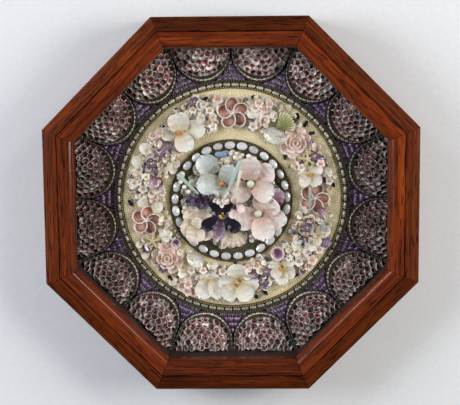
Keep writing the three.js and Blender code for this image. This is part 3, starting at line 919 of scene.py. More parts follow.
# The pinwheels: three whorls of red-brown cup shells with thick white lips. Each is five valves set round a
# white bead, every one tipped so that its edge rides over the next.
REST = GROUND_TOP + 0.8
WREATH = PANEL + np.array([0.0, 1.4, 0.0])
WHEEL_VALVES = 5
WHEEL_LIFT = 1.0
WHEEL_HEART = 2.6
WHEEL_HEART_LIFT = 5.0
PINWHEELS = {
    "pinwheel_top": (1.5, 69, 13.5, 0.38),
    "pinwheel_right": (68.2, -1.8, 13.0, 1.2),
    "pinwheel_left": (-71, -19.5, 12.6, 0.1),
}


def on_ground(x, y, up=0.0):
    """A place in the wreath, in millimetres from its middle and from the shells that it rests on."""
    return WREATH + np.array([x, y, REST + up])


def moved(form, place, yaw=0.0, size=1.0):
    """One form scaled, turned about Z and moved, keeping the tones it has."""
    points = (form.points * size) @ turn(yaw)[0].T + np.array(place)
    return form._replace(points=points)


def ball(rings=4, segments=8):
    """A bead of unit diameter, painted lighter at the top as a highlight."""
    angle = np.linspace(0, math.pi, rings + 2)
    return turned(np.stack([np.sin(angle), np.cos(angle)], -1) * 0.5, segments, np.linspace(1, 0, rings + 2))


def pinwheel(reach):
    """Valves round a middle, each tipped about its own spoke so that one edge is high and the other low."""
    spoke = np.arange(WHEEL_VALVES) * 2 * math.pi / WHEEL_VALVES
    places = around(1, spoke, 0.33) * reach * 0.52
    return copies(valve, places, turn(spoke, -0.1, 0.5), reach * np.array([[0.48, 0.48, 0.5]]))


valve_hollow = [[0, -0.5], [0.35, -0.46], [0.65, -0.3], [0.8, -0.14], [0.9, 0.02], [1, 0.1]]
valve_back = [[1.05, 0.04], [0.95, -0.2], [0.55, -0.52], [0, -0.66]]
valve = turned(valve_hollow + valve_back, 18, [0, 0.12, 0.3, 0.5, 0.6, 0.68, 0.76, 0.82, 0.9, 1])
# Glossy: flesh pink in the middle, red-brown around it, then a thick white lip.
red_cup = shell(
    "red-brown cup shell",
    {
        0: "#e6c6b2",
        0.12: "#dcae9c",
        0.3: "#b87366",
        0.46: "#964e40",
        0.52: "#f3e9df",
        0.78: "#f8f2ea",
        0.86: "#b08074",
        1: "#a06e62",
    },
    rough=(0.22, 0.4),
    mottle=0.03,
)
# Chalky white with a soft gloss.
white_bead = shell("white bead shell", {0: "#cfc5b2", 0.5: "#ebe6da", 1: "#f8f6f0"}, rough=(0.25, 0.45))
for name, (x, y, reach, yaw) in PINWHEELS.items():
    wheel = moved(pinwheel(reach), on_ground(x, y, WHEEL_LIFT), yaw)
    piece(name + "_shells", wheel, red_cup, [name])
wheel_hearts = [on_ground(x, y, WHEEL_HEART_LIFT) for x, y, *_ in PINWHEELS.values()]
piece("pinwheel_hearts", copies(ball(), wheel_hearts, turn(0), WHEEL_HEART), white_bead)


# The large white flowers: three to five broad ivory valves of clam shell each, most of them round a pinch of
# orange grains. They are the biggest blooms of the wreath, and their valves are stuck into lumps of wax.
PETAL_STEP = 0.8
ANY_TURN = (0, 6.28)
GRAINS = 9
GRAIN_SIZE = 1.5
GRAIN_LIFT = 7.4
WHITE_HEARTS = [(-42, 53), (5, -72), (41.5, -60.5), (64.5, 18)]
THIN_SHELL = {"Subsurface Weight": 0.12, "Subsurface Scale": 2 * MM}

# Satin ivory, yellower and darker at the hinge: partly its colour and partly painted shade in the hollow of
# the valve. It is thin enough to let some light through.
ivory = shell(
    "ivory clam shell",
    {0: "#c2a876", 0.25: "#dbcfb3", 0.6: "#e6dfd1", 1: "#f2eee6"},
    ridges=3,
    vary=0.06,
    values=THIN_SHELL,
)
# Dull orange, like seeds.
orange_grain = shell("orange grains", {0: "#a85a1e", 0.5: "#d9852f", 1: "#f0ab52"}, rough=(0.5, 0.7))


def skin(top, under, along):
    """A closed plate from two grids of points, one over the other, with a wall round their edges."""
    rows, columns = top.shape[:2]
    count = rows * columns
    index = np.arange(count).reshape(rows, columns)
    edge = np.concatenate([index[:-1, 0], index[-1, :-1], index[:0:-1, -1], index[0, :0:-1]])
    ahead = np.roll(edge, -1)
    face = lattice(rows, columns)
    wall = np.concatenate(
        [np.stack([edge, edge + count, ahead + count], -1), np.stack([edge, ahead + count, ahead], -1)]
    )
    tris = np.concatenate([face, face[:, ::-1] + count, wall])
    points = np.concatenate([top.reshape(-1, 3), under.reshape(-1, 3)])
    return Form(points, tris, np.tile(along.ravel(), 2), np.full(2 * count, 0.5))


def petal(
    length, width, lift=0.25, cup=0.2, curl=0.0, waist=0.6, blunt=3.0, thick=0.45, steps=(8, 7), wave=(0, 0)
):
    """A petal of shell along +X from its hinge, concave side up.

    Half-width goes as u to the power waist times the root of one minus u to the power blunt. Height is lift
    times u plus curl times u squared, in lengths, plus cup in widths times the square of the way out to the
    widest edge. wave is how far the rim ripples, as a share of the length, and where the ripple starts.
    """
    u = np.sin(np.linspace(0.03, 0.93, steps[0]) * math.pi / 2)[:, None]
    v = np.linspace(-1, 1, steps[1])[None, :]
    half = u**waist * np.sqrt(1 - u**blunt)
    half *= width / 2 / half.max()
    ripple, phase = wave
    x = length * u * (1 + ripple * u**2 * np.cos(4.5 * v + phase))
    z = length * (lift * u + curl * u**2) + 4 * cup / width * (half * v) ** 2
    z = z + length * 0.5 * ripple * u**2 * np.sin(6 * v + 2 * phase)
    top = np.stack([x, half * v, z], -1)
    under = top - np.array([0, 0, thick])
    return skin(top, under, np.broadcast_to(u, x.shape))


def laid_petals(rows, place, cup=0.18, waist=0.3):
    """Single petals laid one over another, each a step above the last.

    Each row gives a petal's middle x and y, its length and width, its heading in degrees and its height;
    place turns x, y and height into a point.
    """
    parts = []
    for order, (x, y, length, width, degrees, up) in enumerate(rows):
        yaw = math.radians(degrees)
        wave = (0.05, rng.uniform(*ANY_TURN))
        blade = petal(length, width, 0.02, cup, 0.1, waist, blunt=3.6, steps=(11, 13), wave=wave)
        half = length / 2 * np.array([math.cos(yaw), math.sin(yaw), 0])
        hinge = place(x, y, up + PETAL_STEP * order) - half
        parts.append(copies(blade, [hinge], turn(yaw, rng.normal(-0.03, 0.03), rng.normal(0, 0.06))))
    return together(*parts)


def pinch(place, count, spread, flat):
    """Places for a pinch of grains: a bell-shaped cloud about a place, pressed flat by a share."""
    return place + rng.normal(0, spread, (count, 3)) * np.array([1, 1, flat])


WHITE_FLOWERS = {
    "white_flower_upper_left": [
        (-50.5, 54, 15, 15, 170, 3.0),
        (-31, 56, 19, 16, 15, 3.2),
        (-43, 61.5, 17, 18, 95, 3.8),
        (-38.5, 45.5, 16, 16, 295, 4.2),
    ],
    "white_flower_bottom": [
        (4, -64, 15, 18, 95, 3.0),
        (14, -71.5, 15, 15, 5, 3.2),
        (-4, -71.5, 15, 14, 175, 3.4),
        (-2, -79, 15, 14, 228, 4.0),
        (10, -79, 15, 15, 308, 4.4),
    ],
    "white_blossom_lower_right": [
        (36, -57, 11, 10, 160, 2.4),
        (46, -55, 11, 10, 40, 2.6),
        (47, -63, 11, 10, 330, 3.0),
        (41, -67, 12, 11, 265, 3.2),
        (36.5, -63, 10, 9, 210, 3.6),
    ],
    "white_blossom_bottom_left": [
        (-18, -69.5, 12, 16, 90, 2.4),
        (-23.5, -76, 18, 15, 250, 3.0),
        (-13.5, -76, 18, 13, 285, 3.6),
    ],
}
RIGHT_PETALS = [
    (60, 21, 11, 11, 140, 3.0),
    (69, 22, 12, 11, 40, 3.2),
    (68, 14, 12, 11, 320, 3.6),
    (60, 14, 11, 10, 225, 4.0),
]
LEFT_PETALS = [
    (-70, 40, 11, 10, 130, 3.0),
    (-77, 30, 10, 10, 200, 2.6),
    (-62, -8, 10, 9, 20, 2.6),
    (-73, -4, 9, 9, 120, 2.8),
]
side_petals = [laid_petals(RIGHT_PETALS, on_ground), laid_petals(LEFT_PETALS, on_ground)]
piece("white_side_petals", together(*side_petals), ivory)
for name, rows in WHITE_FLOWERS.items():
    piece(name + "_petals", laid_petals(rows, on_ground), ivory, [name])
grain_spots = [pinch(on_ground(x, y, GRAIN_LIFT), GRAINS, 0.9, 0.4) for x, y in WHITE_HEARTS]
grains = copies(ball(2, 6), np.concatenate(grain_spots), turn(0), GRAIN_SIZE)
piece("orange_grains", grains, orange_grain)


# The roses: two blush roses in the wreath, built up from the middle with some twenty thin pink rose-petal
# tellins. The inner ones stand nearly upright and the outer ones lie open.
ROSE_RINGS = [
    {"count": 3, "base": 0.03, "length": 0.3, "width": 0.34, "pitch": 0.95},
    {"count": 4, "base": 0.14, "length": 0.38, "width": 0.46, "pitch": 0.75},
    {"count": 6, "base": 0.28, "length": 0.44, "width": 0.54, "pitch": 0.52},
    {"count": 8, "base": 0.48, "length": 0.5, "width": 0.58, "pitch": 0.26},
]
ROSE_RISE = 0.3
ROSE_LIFT = 0.4


def rose(reach):
    """Rings of cupped petals, in shares of the reach.

    Each ring is turned against the last, and its petals are longer and lie flatter than those inside it.
    """
    parts = []
    for ring, size in enumerate(ROSE_RINGS):
        count, base = size["count"], size["base"]
        yaw = (np.arange(count) + 0.5 * ring) * 2 * math.pi / count + rng.normal(0, 0.12, count)
        blade = petal(size["length"], size["width"], lift=0.05, cup=0.3, curl=0.12, waist=0.35, thick=0.03)
        rise = ROSE_RISE * (1 - base / ROSE_RINGS[-1]["base"])
        spots = around(base, yaw, rise)
        lean = -size["pitch"] + rng.normal(0, 0.08, count)
        tones = rng.uniform(0.15 * ring, 0.4 + 0.15 * ring, count)
        parts.append(copies(blade, spots, turn(yaw, lean), tones=tones))
    form = together(*parts)
    return form._replace(points=form.points * reach)


# Satin and thin: blush pink at the hinge, nearly white at the edge.
blush = shell(
    "blush tellin shell",
    {0: "#f0bca8", 0.35: "#f6d7c9", 0.7: "#fae6dc", 1: "#fdf2ec"},
    rough=(0.3, 0.48),
    ridges=4,
    vary=0.1,
    values=THIN_SHELL | {"Subsurface Scale": 1.5 * MM},
)
ROSES = {"rose_upper_right": (52.5, 44.5, 14.5), "rose_lower_left": (-54, -51, 14.5)}
for name, (x, y, reach) in ROSES.items():
    piece(name + "_petals", moved(rose(reach), on_ground(x, y, ROSE_LIFT)), blush, [name])


# The starfish: two small ones, dried whole, so that they are buff-coloured, rough and stiff.
# They lie on top of the flowers of the wreath.
STAR_LIFT = 4.5


def starfish(reach):
    """Five tapering arms: the radius of each ring swells at the arms and draws in between them."""
    form = turned([[0, 0.3], [0.2, 0.3], [0.45, 0.24], [0.75, 0.16], [1, 0.06], [0.9, 0], [0, 0]], 40)
    x, y, z = form.points.T
    out = np.hypot(x, y)
    arm = np.abs(np.cos(2.5 * np.arctan2(y, x)))
    drawn_in = 1 - np.clip(out * 1.15, 0, 0.74) * (1 - arm**2.2)
    return form._replace(points=np.stack([x * drawn_in, y * drawn_in, z], -1) * reach)


# Chalky buff, browner at the tips of the arms, with fine ridges across them.
buff = shell("dried starfish", {0: "#e8dcb4", 0.5: "#cdb987", 1: "#b49a63"}, rough=(0.6, 0.8), ridges=9)
STARS = {"starfish_right": (63, 31, 9.5, 0.5), "starfish_left": (-66, -36, 8.0, 0.2)}
for name, (x, y, reach, yaw) in STARS.items():
    star = moved(starfish(reach), on_ground(x, y, STAR_LIFT), yaw)
    piece(name + "_skin", star, buff, [name])


# The pearly shells: two small ear shells polished down to the nacre, one on each side of the wreath.
# They lie hollow side up, with a whorl near one end.
EAR_LIFT = 0.6


def nacre(name):
    """Polished mother-of-pearl: silver white that turns greyer and warmer in soft bands some 9 mm wide, with
    a painted highlight in the middle.
    """
    made, shader = surface(name)
    place = node(made, "TexCoord", output="Object")
    along = node(made, "Attribute", output="Fac", attribute_name="along")
    band = {"Vector": place, "Scale": repeats(9.0909), "Detail": 2, "Distortion": 0.8}
    bands = node(made, "TexNoise", band)
    # Painted highlight: along is low in the middle of the shell, so the colour runs paler there.
    banded_highlight = node(made, "Math", {0: along, 1: 0.25, 2: bands}, operation="MULTIPLY_ADD")
    pale = {0.34: "#fbfaf6", 0.46: "#ecece2", 0.54: "#d2d2c4"}
    warm = {0.62: "#efe9e2", 0.7: "#b5b2a2", 0.82: "#e2ddcd"}
    colour = node(made, "ValToRGB", {"Fac": banded_highlight}, stops=pale | warm)
    rough = node(made, "MapRange", {"Value": bands, **noise_to(0.16, 0.32)})
    coat(made, shader, colour, rough, bands, 0.1, {"Metallic": 0.1})
    return made


def ear_shell(reach):
    """A shallow dish turned about Z with a rolled rim, and a bead for its whorl, both squeezed to an oval."""
    dish = turned(
        [[0, 0.1], [0.3, 0.1], [0.65, 0.2], [0.9, 0.36], [1, 0.4], [1.02, 0.33], [0.8, 0.08], [0, 0]],
        28,
        [0, 0.15, 0.4, 0.7, 1, 0.9, 0.4, 0.2],
    )
    whorl = copies(ball(5, 12), [[0.32, 0.2, 0.22]], turn(0.5), [[0.62, 0.4, 0.3]], 0.8)
    form = together(dish, whorl)
    return form._replace(points=form.points * np.array([1, 0.66, 0.8]) * reach)


pearl = nacre("mother-of-pearl")
EARS = {"pearly_disc": (36, 50, 10.0, -0.4), "pearly_shell_left": (-31, -53, 8.0, 2.4)}
for name, (x, y, reach, yaw) in EARS.items():
    ear = moved(ear_shell(reach), on_ground(x, y, EAR_LIFT), yaw)
    piece(name + "_nacre", ear, pearl, [name])


# The ribbed shells: a green fan above the upper rose and six small white cockles, all whole valves.
# They lie hollow side down on the flowers and are stuck with wax.
GREEN_FAN = (43, 60)
FAN_LIFT = 4.0
COCKLE_LIFT = 2.5
COCKLES = [
    (21, 67, 9, 1.6),
    (77, 21, 8, -1.2),
    (-57, -33.5, 10, 0.4),
    (29, 65, 7, 1.0),
    (-79, 21, 8, 2.2),
    (-58, 5, 8, 2.6),
]


def scallop(reach, ribs=9, spread_angle=1.9, dome=0.28, depth=0.03):
    """A ribbed valve: rows run out from the hinge, columns across the fan.

    Its height is a dome with ribs on it, and its tone is highest along the crest of each rib.
    """
    u = np.linspace(0.04, 1, 9)[:, None]
    v = np.linspace(-0.5, 0.5, 4 * ribs + 1)[None, :]
    edge = 1 - 0.175 * (2 * v) ** 4 + 0.03 * np.cos(2 * math.pi * ribs * v)
    angle = v * spread_angle
    x, y = reach * u * edge * np.cos(angle), reach * u * edge * np.sin(angle)
    rise = np.sin(math.pi * (0.15 + 0.75 * u)) * np.cos(math.pi * v * 0.9)
    z = reach * (dome * rise + depth * u * np.cos(2 * math.pi * ribs * v))
    top = np.stack([x - reach / 2, y, z], -1)
    form = skin(top, top - np.array([0, 0, 0.5]), np.broadcast_to(u, z.shape))
    crest = np.broadcast_to(0.5 + 0.5 * np.cos(2 * math.pi * ribs * v), z.shape)
    return form._replace(tone=np.tile(crest.ravel(), 2))


# Moss green, paler along each rib and at the rim.
green_stops = {0: "#6d713c", 0.5: "#8e9258", 0.85: "#b9ba8a", 1: "#e6e2cb"}
green_shell = shell("green ribbed shell", green_stops, vary=0.4)
# Dull white, yellower at the hinge.
white_rib = shell("white cockle shell", {0: "#cfc3ab", 0.4: "#e6dfd2", 1: "#f6f3ec"}, ridges=4)
green = moved(scallop(16, 9, 1.5), on_ground(*GREEN_FAN, FAN_LIFT), 0.6)
piece("green_fan_shell", green, green_shell, ["green_fan"])
cockles = [moved(scallop(reach, 8), on_ground(x, y, COCKLE_LIFT), yaw) for x, y, reach, yaw in COCKLES]
piece("white_cockles", together(*cockles), white_rib)


# The cream flower at the right and the white heaps: the flower is four peach-tinted clam valves in wax, and
# the heaps are small white shells and beads, glued between the large flowers all round the wreath.
CREAM_PETALS = [
    (66, -27, 11, 10, 115, 1.0),
    (75, -29, 12, 11, 35, 1.2),
    (75, -38, 12, 11, 320, 1.5),
    (66, -39, 12, 11, 235, 1.9),
]
WHITE_HEAPS = [
    ((-75, 13), 60, 11, 3.2),
    ((-22, 68), 70, 11, 2.8),
    ((51, -50), 80, 10, 2.2),
    ((-30, -65), 40, 8, 2.4),
    ((66, 22), 30, 8, 2.8),
    ((24, 66), 24, 8, 2.6),
    ((-68, 36), 30, 8, 3.0),
    ((-50, -34), 20, 6, 2.6),
    ((15, -63), 24, 8, 2.4),
]

# Satin cream, peach at the hinge.
cream_petal = shell(
    "cream clam shell",
    {0: "#d9b98c", 0.35: "#e8dcc4", 1: "#f4eee2"},
    ridges=4,
    vary=0.06,
)
cream_flower = laid_petals(CREAM_PETALS, on_ground)
piece("cream_flower_petals", cream_flower, cream_petal, ["cream_flower_right"])


def heap(centre, count, reach, size, up=2.0):
    """Places for a heap of small pieces, closer and higher towards its middle."""
    angle = rng.uniform(0, 2 * math.pi, count)
    out = np.sqrt(rng.random(count)) * reach
    height = up * (1 - (out / reach) ** 2) + rng.uniform(0, 1.2, count)
    spots = around(out, angle, height, on_ground(*centre))
    return spots, size * rng.uniform(0.7, 1.25, count)


bead_ball = ball(3, 7)
heaps = [heap(*h) for h in WHITE_HEAPS]
heap_spots = np.concatenate([h[0] for h in heaps])
heap_sizes = np.concatenate([h[1] for h in heaps])
heap_stretch = heap_sizes[:, None] * rng.uniform(0.7, 1.3, (len(heap_sizes), 3))
heap_turns = turn(rng.uniform(*ANY_TURN, len(heap_sizes)), rng.normal(0, 0.5, len(heap_sizes)))
whites = copies(bead_ball, heap_spots, heap_turns, heap_stretch)
piece("white_heaps", whites, white_bead, ["white_shells_left"])


# The small blossoms of the wreath: five tiny petals each, cut from pink, white and violet shell, round a
# yellow or orange bead. They are stuck singly into the space between the large flowers.
BLOSSOM_PETALS = 5
COLOURED_SIZE = 8.0
COLOURED_LIFT = 4.0
COLOURED_HEART = 1.9
WHITE_SIZE = 7.0
WHITE_LIFT = 3.6
WHITE_HEART = 1.6
PINK_SPOTS = [
    (23, 77), (32, 76), (27, 72), (-11, 80.5), (-15, 65), (22, 60), (72, -44), (66, -53), (63, -58),
    (13, -59), (20, -57), (-42, -74), (-37, -73), (-37, -79), (-32, -79), (-58, 53), (-64, 51),
    (-60, 45), (-43, 37.5), (73, 27), (-50, 60),
]
VIOLET_SPOTS = [
    (68, 33), (73.5, 30), (64, -20), (62, -26), (60, -35), (78, -38), (18, -65), (29, -62.5),
    (26, -70), (-71, -43), (-64, 24), (-59, 36), (-52, 42), (-66, 28), (-30, 78), (-57, -60),
]
WHITE_SPOTS = [
    (-25, 65), (-18, 71), (-15, 58), (-31, 72), (-15, 66), (-22, 76), (18, 58), (20, 73), (-70, 17),
    (-73, 7), (-66, 31), (-80, 12), (-34, -61), (-24, -61), (53, -46), (47, -51), (55, -54), (-57, 4),
    (-8, -62), (33, -68), (57, 24), (80, 13),
]


def blossom():
    """Short petals round a middle, each of a few dozen faces."""
    blade = petal(0.5, 0.44, lift=0.2, cup=0.2, waist=0.5, thick=0.05, steps=(4, 4))
    yaw = np.arange(BLOSSOM_PETALS) * 2 * math.pi / BLOSSOM_PETALS
    form = copies(blade, around(0.05, yaw), turn(yaw, -0.25))
    return form._replace(tone=np.full(len(form.points), 0.5))


def strewn(spots, size, up):
    """A blossom at each place, turned at random, tipped a little, each with its own tone."""
    spots = np.array(spots, float)
    count = len(spots)
    places = WREATH + np.column_stack([spots, REST + up + rng.uniform(0, 2.0, count)])
    turns = turn(rng.uniform(*ANY_TURN, count), rng.normal(0, 0.2, count), rng.normal(0, 0.2, count))
    return copies(blossom(), places, turns, size * rng.uniform(0.85, 1.15, count)), places


# Pink at the heart, paling to white.
pink_petal = shell("pink blossom shell", {0: "#d99c98", 0.4: "#efd0ca", 1: "#f8ece7"}, vary=0.12)
# Grey-violet at the heart and dark violet at the edge, uneven from one to the next.
violet_petal = shell("violet blossom shell", {0: "#a595aa", 0.4: "#7b6684", 1: "#524160"}, vary=0.4)
# Waxy yellow.
yellow_bead = shell("yellow bead", {0: "#a8741c", 0.5: "#d9a32e", 1: "#efc858"})
pinks, pink_places = strewn(PINK_SPOTS, COLOURED_SIZE, COLOURED_LIFT)
violets, violet_places = strewn(VIOLET_SPOTS, COLOURED_SIZE, COLOURED_LIFT)
whitish, white_places = strewn(WHITE_SPOTS, WHITE_SIZE, WHITE_LIFT)
piece("white_blossoms", whitish, white_bead)
white_hearts = copies(bead_ball, white_places + np.array([0, 0, 0.9]), turn(0), WHITE_HEART)
piece("white_blossom_hearts", white_hearts, orange_grain)
piece("pink_blossoms", pinks, pink_petal)
piece("violet_blossoms", violets, violet_petal)
heart_places = np.concatenate([pink_places, violet_places]) + np.array([0, 0, 1.0])
hearts = copies(bead_ball, heart_places, turn(0), COLOURED_HEART)
piece("blossom_hearts", hearts, yellow_bead)


# The snails, mauve valves and barnacles: a few whole shells glued among the flowers. The snails are coiled,
# the valves are halves of small mussels, and the barnacles are short cones with an open mouth.
SNAIL_LIFT = 1.5
SNAILS = [
    (-76, 23, 5.5, 0.2),
    (-80, 16, 4.5, 2.0),
    (63, -46, 6.0, 1.0),
    (-24, 74, 4.5, 3.0),
    (35, 66, 4.0, 4.0),
]
MAUVE_SPOTS = [(-62, 12, 12, 10.5, 200, 4.5), (-56, 38, 8, 7, 40, 4.0), (74, -12, 8, 7, 320, 4.0)]
BARNACLE_LIFT = 0.3
BARNACLES = [(39, -47, 6.5), (57, -63, 4.0), (-31, -71, 4.0), (-48, -38, 4.5), (77, 14, 4.0)]


def snail(turns=2.6, steps=60, sides=9):
    """A coiled tube whose width and distance from the axis grow by the same share with each turn."""
    t = np.linspace(0, 1, steps)[:, None]
    angle = t * turns * 2 * math.pi
    growth = np.exp((t - 1) * turns * 0.75)
    ring = (np.arange(sides) * 2 * math.pi / sides)[None, :]
    tube = 0.36 * growth
    out = 0.6 * growth + tube * np.cos(ring)
    z = 0.45 * (1 - growth) + tube * np.sin(ring) * 0.9
    points = np.stack([out * np.cos(angle), out * np.sin(angle), z + 0.3], -1).reshape(-1, 3)
    return Form(points, capped_tube(steps, sides), np.repeat(t, sides), np.full(len(points), 0.5))


# Mauve at the tip of the coil and cream at its mouth.
snail_stops = {0: "#8d6a70", 0.4: "#c9a9a4", 0.75: "#e6d8cc", 1: "#f1e9df"}
snail_shell = shell("moon snail shell", snail_stops, ridges=8)
snails = [moved(snail(), on_ground(x, y, SNAIL_LIFT), yaw, size) for x, y, size, yaw in SNAILS]
piece("snails", together(*snails), snail_shell)
# Red-purple at the hinge and pale mauve at the rim.
mauve = shell("mauve mussel shell", {0: "#6b3f58", 0.5: "#956b80", 0.85: "#c0a3b0", 1: "#e0d0d6"}, ridges=4)
piece("mauve_valves", laid_petals(MAUVE_SPOTS, on_ground, cup=0.3), mauve)
barnacle = turned(
    [[0, 0.45], [0.4, 0.5], [0.78, 0.92], [0.9, 1.0], [0.95, 0.9], [0.8, 0.4], [0.6, 0], [0, 0]],
    14,
    [0, 0.15, 0.5, 0.62, 0.7, 0.85, 1, 1],
)
# Purple in the mouth, chalky white outside.
barnacle_stops = {0: "#6b4259", 0.3: "#976b80", 0.56: "#e9dcda", 0.75: "#e6d8d6", 1: "#d0bfc0"}
barnacle_shell = shell("mauve barnacle", barnacle_stops)
barnacle_places = np.array([on_ground(x, y, BARNACLE_LIFT) for x, y, _ in BARNACLES])
barnacle_turns = turn(rng.uniform(0, 6, len(BARNACLES)), rng.normal(0, 0.35, len(BARNACLES)))
barnacles = copies(barnacle, barnacle_places, barnacle_turns, [size for *_, size in BARNACLES])
piece("barnacles", barnacles, barnacle_shell)


# The filling of the wreath: mint-green urchin spines, black mussel chips, bits of green weed, and hundreds of
# tiny cream, ruddy and purple shells. They were pressed into the gaps while the wax was soft.
CHIP_SIZE = [[3.6, 1.8, 1.6]]
CHIP_LIFT = 4.2
BARE_CHIP_LIFT = 0.8
SHELL_BAND = (70.0, 14.0)
CHIP_SPOTS = [
    (54.5, 66), (65.5, 52), (44, 33), (3, -54.5), (27, -80.5), (20, -84.5), (-5, -86), (-52, -68.5),
    (-84, -5), (-79.5, 30.5), (-44.5, 71.5), (-55.5, 59), (-21, 80.5), (83, 10), (52.5, -66.5),
    (-81, 17.5), (19.5, 82), (61, 59.5),
]
LEAF_LIFT = 1.5
LEAF_SPOTS = [(-43, -66), (-64, -58), (49, 27), (80, -30), (-48, 44), (33, -57), (-82, 8), (12, 82), (38, 68)]
FILLED = (58.5, 83.0)
BIG_BLOOMS = np.array(
    [(x, y, reach + 2.5) for x, y, reach, _ in [*PINWHEELS.values(), *EARS.values()]]
    + [(x, y, 5.5) for rows in WHITE_FLOWERS.values() for x, y, *_ in rows]
    + [(x, y, reach) for x, y, reach in [*ROSES.values(), *BARNACLES]]
    + [(x, y, 5.0) for x, y, *_ in CREAM_PETALS]
    + [(x, y, 4.5) for x, y, *_ in RIGHT_PETALS + LEFT_PETALS]
    + [(*GREEN_FAN, 8.0)]
)

# Pale grey-green and nearly matt.
mint = shell("mint urchin spine", {0: "#97a89d", 0.5: "#b5c6bb", 1: "#d6dfd8"}, rough=(0.4, 0.55))
thick_spine = lying(turned([[0, 1], [0.3, 0.98], [0.42, 0.5], [0.5, 0.02], [0.3, 0], [0, 0]], 10))


def laid_spine(start, end, width):
    """A spine from its thick end to its tip, so wide."""
    run = end - start
    length = np.linalg.norm(run)
    yaw, pitch = math.atan2(run[1], run[0]), -math.asin(run[2] / length)
    return copies(thick_spine, [start], turn(yaw, pitch), [[length, width, width]])


mint_spines = [
    laid_spine(on_ground(64, 8, 8), on_ground(64, -13, 6), 2.2),
    laid_spine(on_ground(57, -36, 5), on_ground(53, -46, 4), 3.6),
    laid_spine(on_ground(74, -20, 4), on_ground(77, -29, 4), 4.5),
]
piece("wreath_spines", together(*mint_spines), mint)
chip = turned([[0, 0.5], [0.8, 0.25], [1, -0.1], [0, -0.3]], 5)
# Nearly black and shiny, with a violet cast.
black_stops = {0: "#2d2534", 0.5: "#17131c", 1: "#0e0c12"}
black_shell = shell("black mussel chips", black_stops, rough=(0.15, 0.3), vary=0.4)
chip_spots = np.array(CHIP_SPOTS, float)
among_shells = np.abs(np.linalg.norm(chip_spots, axis=1) - SHELL_BAND[0]) < SHELL_BAND[1]
chip_heights = REST + np.where(among_shells, CHIP_LIFT, BARE_CHIP_LIFT)
chip_places = WREATH + np.column_stack([chip_spots, chip_heights])
chip_turns = turn(rng.uniform(*ANY_TURN, len(CHIP_SPOTS)), rng.normal(0, 0.3, len(CHIP_SPOTS)))
chips = copies(chip, chip_places, chip_turns, CHIP_SIZE)
piece("mussel_chips", chips, black_shell, sharp=25)
# Dry and olive green.
green_weed = shell("green weed", {0: "#4d5a24", 0.5: "#71803a", 1: "#94a35c"}, rough=(0.5, 0.7), vary=0.3)
leaf_places = np.array([on_ground(x, y, LEAF_LIFT) for x, y in LEAF_SPOTS])
leaf = petal(5.5, 2.6, lift=0.2, cup=0.3, steps=(6, 5))
leaves = copies(leaf, leaf_places, turn(rng.uniform(*ANY_TURN, len(LEAF_SPOTS)), -0.2))
piece("green_leaves", leaves, green_weed)
filler_leaf = petal(1.0, 0.75, lift=0.25, cup=0.3, thick=0.12, steps=(4, 4))


def pressed_in(count, size, height):
    """Small shells strewn evenly over the wreath, between the big blooms, up to a height."""
    angle = rng.uniform(0, 2 * math.pi, count)
    radius = rng.uniform(*FILLED, count) + 1.2 * np.sin(7 * angle) + rng.normal(0, 0.6, count)
    places = around(radius, angle, REST + rng.uniform(0, height, count), WREATH)
    offsets = places[:, None, :2] - WREATH[:2] - BIG_BLOOMS[None, :, :2]
    free = (np.hypot(offsets[..., 0], offsets[..., 1]) > BIG_BLOOMS[None, :, 2]).all(axis=1)
    kept = int(free.sum())
    turns = turn(rng.uniform(*ANY_TURN, kept), rng.normal(-0.15, 0.25, kept), rng.normal(0, 0.22, kept))
    return copies(filler_leaf, places[free], turns, rng.uniform(0.6, 1.25, kept) * size)


# All three are glossy and paler at the rim: tan to cream, red-brown to pink, and dark violet to lilac.
cream_stops = {0: "#d0b88f", 0.4: "#e9dbc0", 0.8: "#f2eadb", 1: "#faf6ee"}
ruddy_stops = {0: "#a0624a", 0.4: "#cfa186", 0.8: "#e6cdb8", 1: "#f1e4d6"}
filler_shell = shell("small cream shells", cream_stops, rough=(0.18, 0.36))
ruddy_shell = shell("small ruddy shells", ruddy_stops, vary=0.25)
purple_bits = shell("small purple shells", {0: "#47364f", 0.5: "#76658a", 1: "#b3a7bd"}, vary=0.35)
cream_bits = together(pressed_in(420, 8.0, 1.0), pressed_in(1500, 5.2, 3.2))
piece("small_cream_shells", cream_bits, filler_shell)
piece("small_ruddy_shells", pressed_in(260, 4.6, 4.0), ruddy_shell)
piece("small_purple_shells", pressed_in(190, 4.4, 4.0), purple_bits)


# The bouquet in the medallion: a blue-white flower, two pink flowers, a dark pansy and a cream rose, each of
# single valves stuck into wax. A rayed cockle, spines, beads and buds are pressed in between them.
WELL_REST = 13.2
WELL_REACH = 38.5
PETAL_COVER = 0.42
BLUE_HEART = (-7.5, 14.5, 7.8)
PANSY_HEART = (-7.5, -12.5, 12.0)
GREEN_HEARTS = [(16.5, 13.5, 8.0), (22.5, -11, 10.0)]
GREEN_HEART_SIZE = [[6.6, 6.4, 4.4]]
BUDS = 40
BUD_MIDDLE = (-26, 0.5, 5.0)
BUD_SPREAD = np.array([4.5, 2.2, 0.6])
BEAD_LIFT = 5.0
STAR_POINTS = 9
STAR_MIDDLE = (-7.5, 2.5, 9.6)


def on_well(x, y, up=0.0):
    """A place in the bouquet, in millimetres from the medallion's middle."""
    return MEDALLION + np.array([x, y, WELL_REST + up])


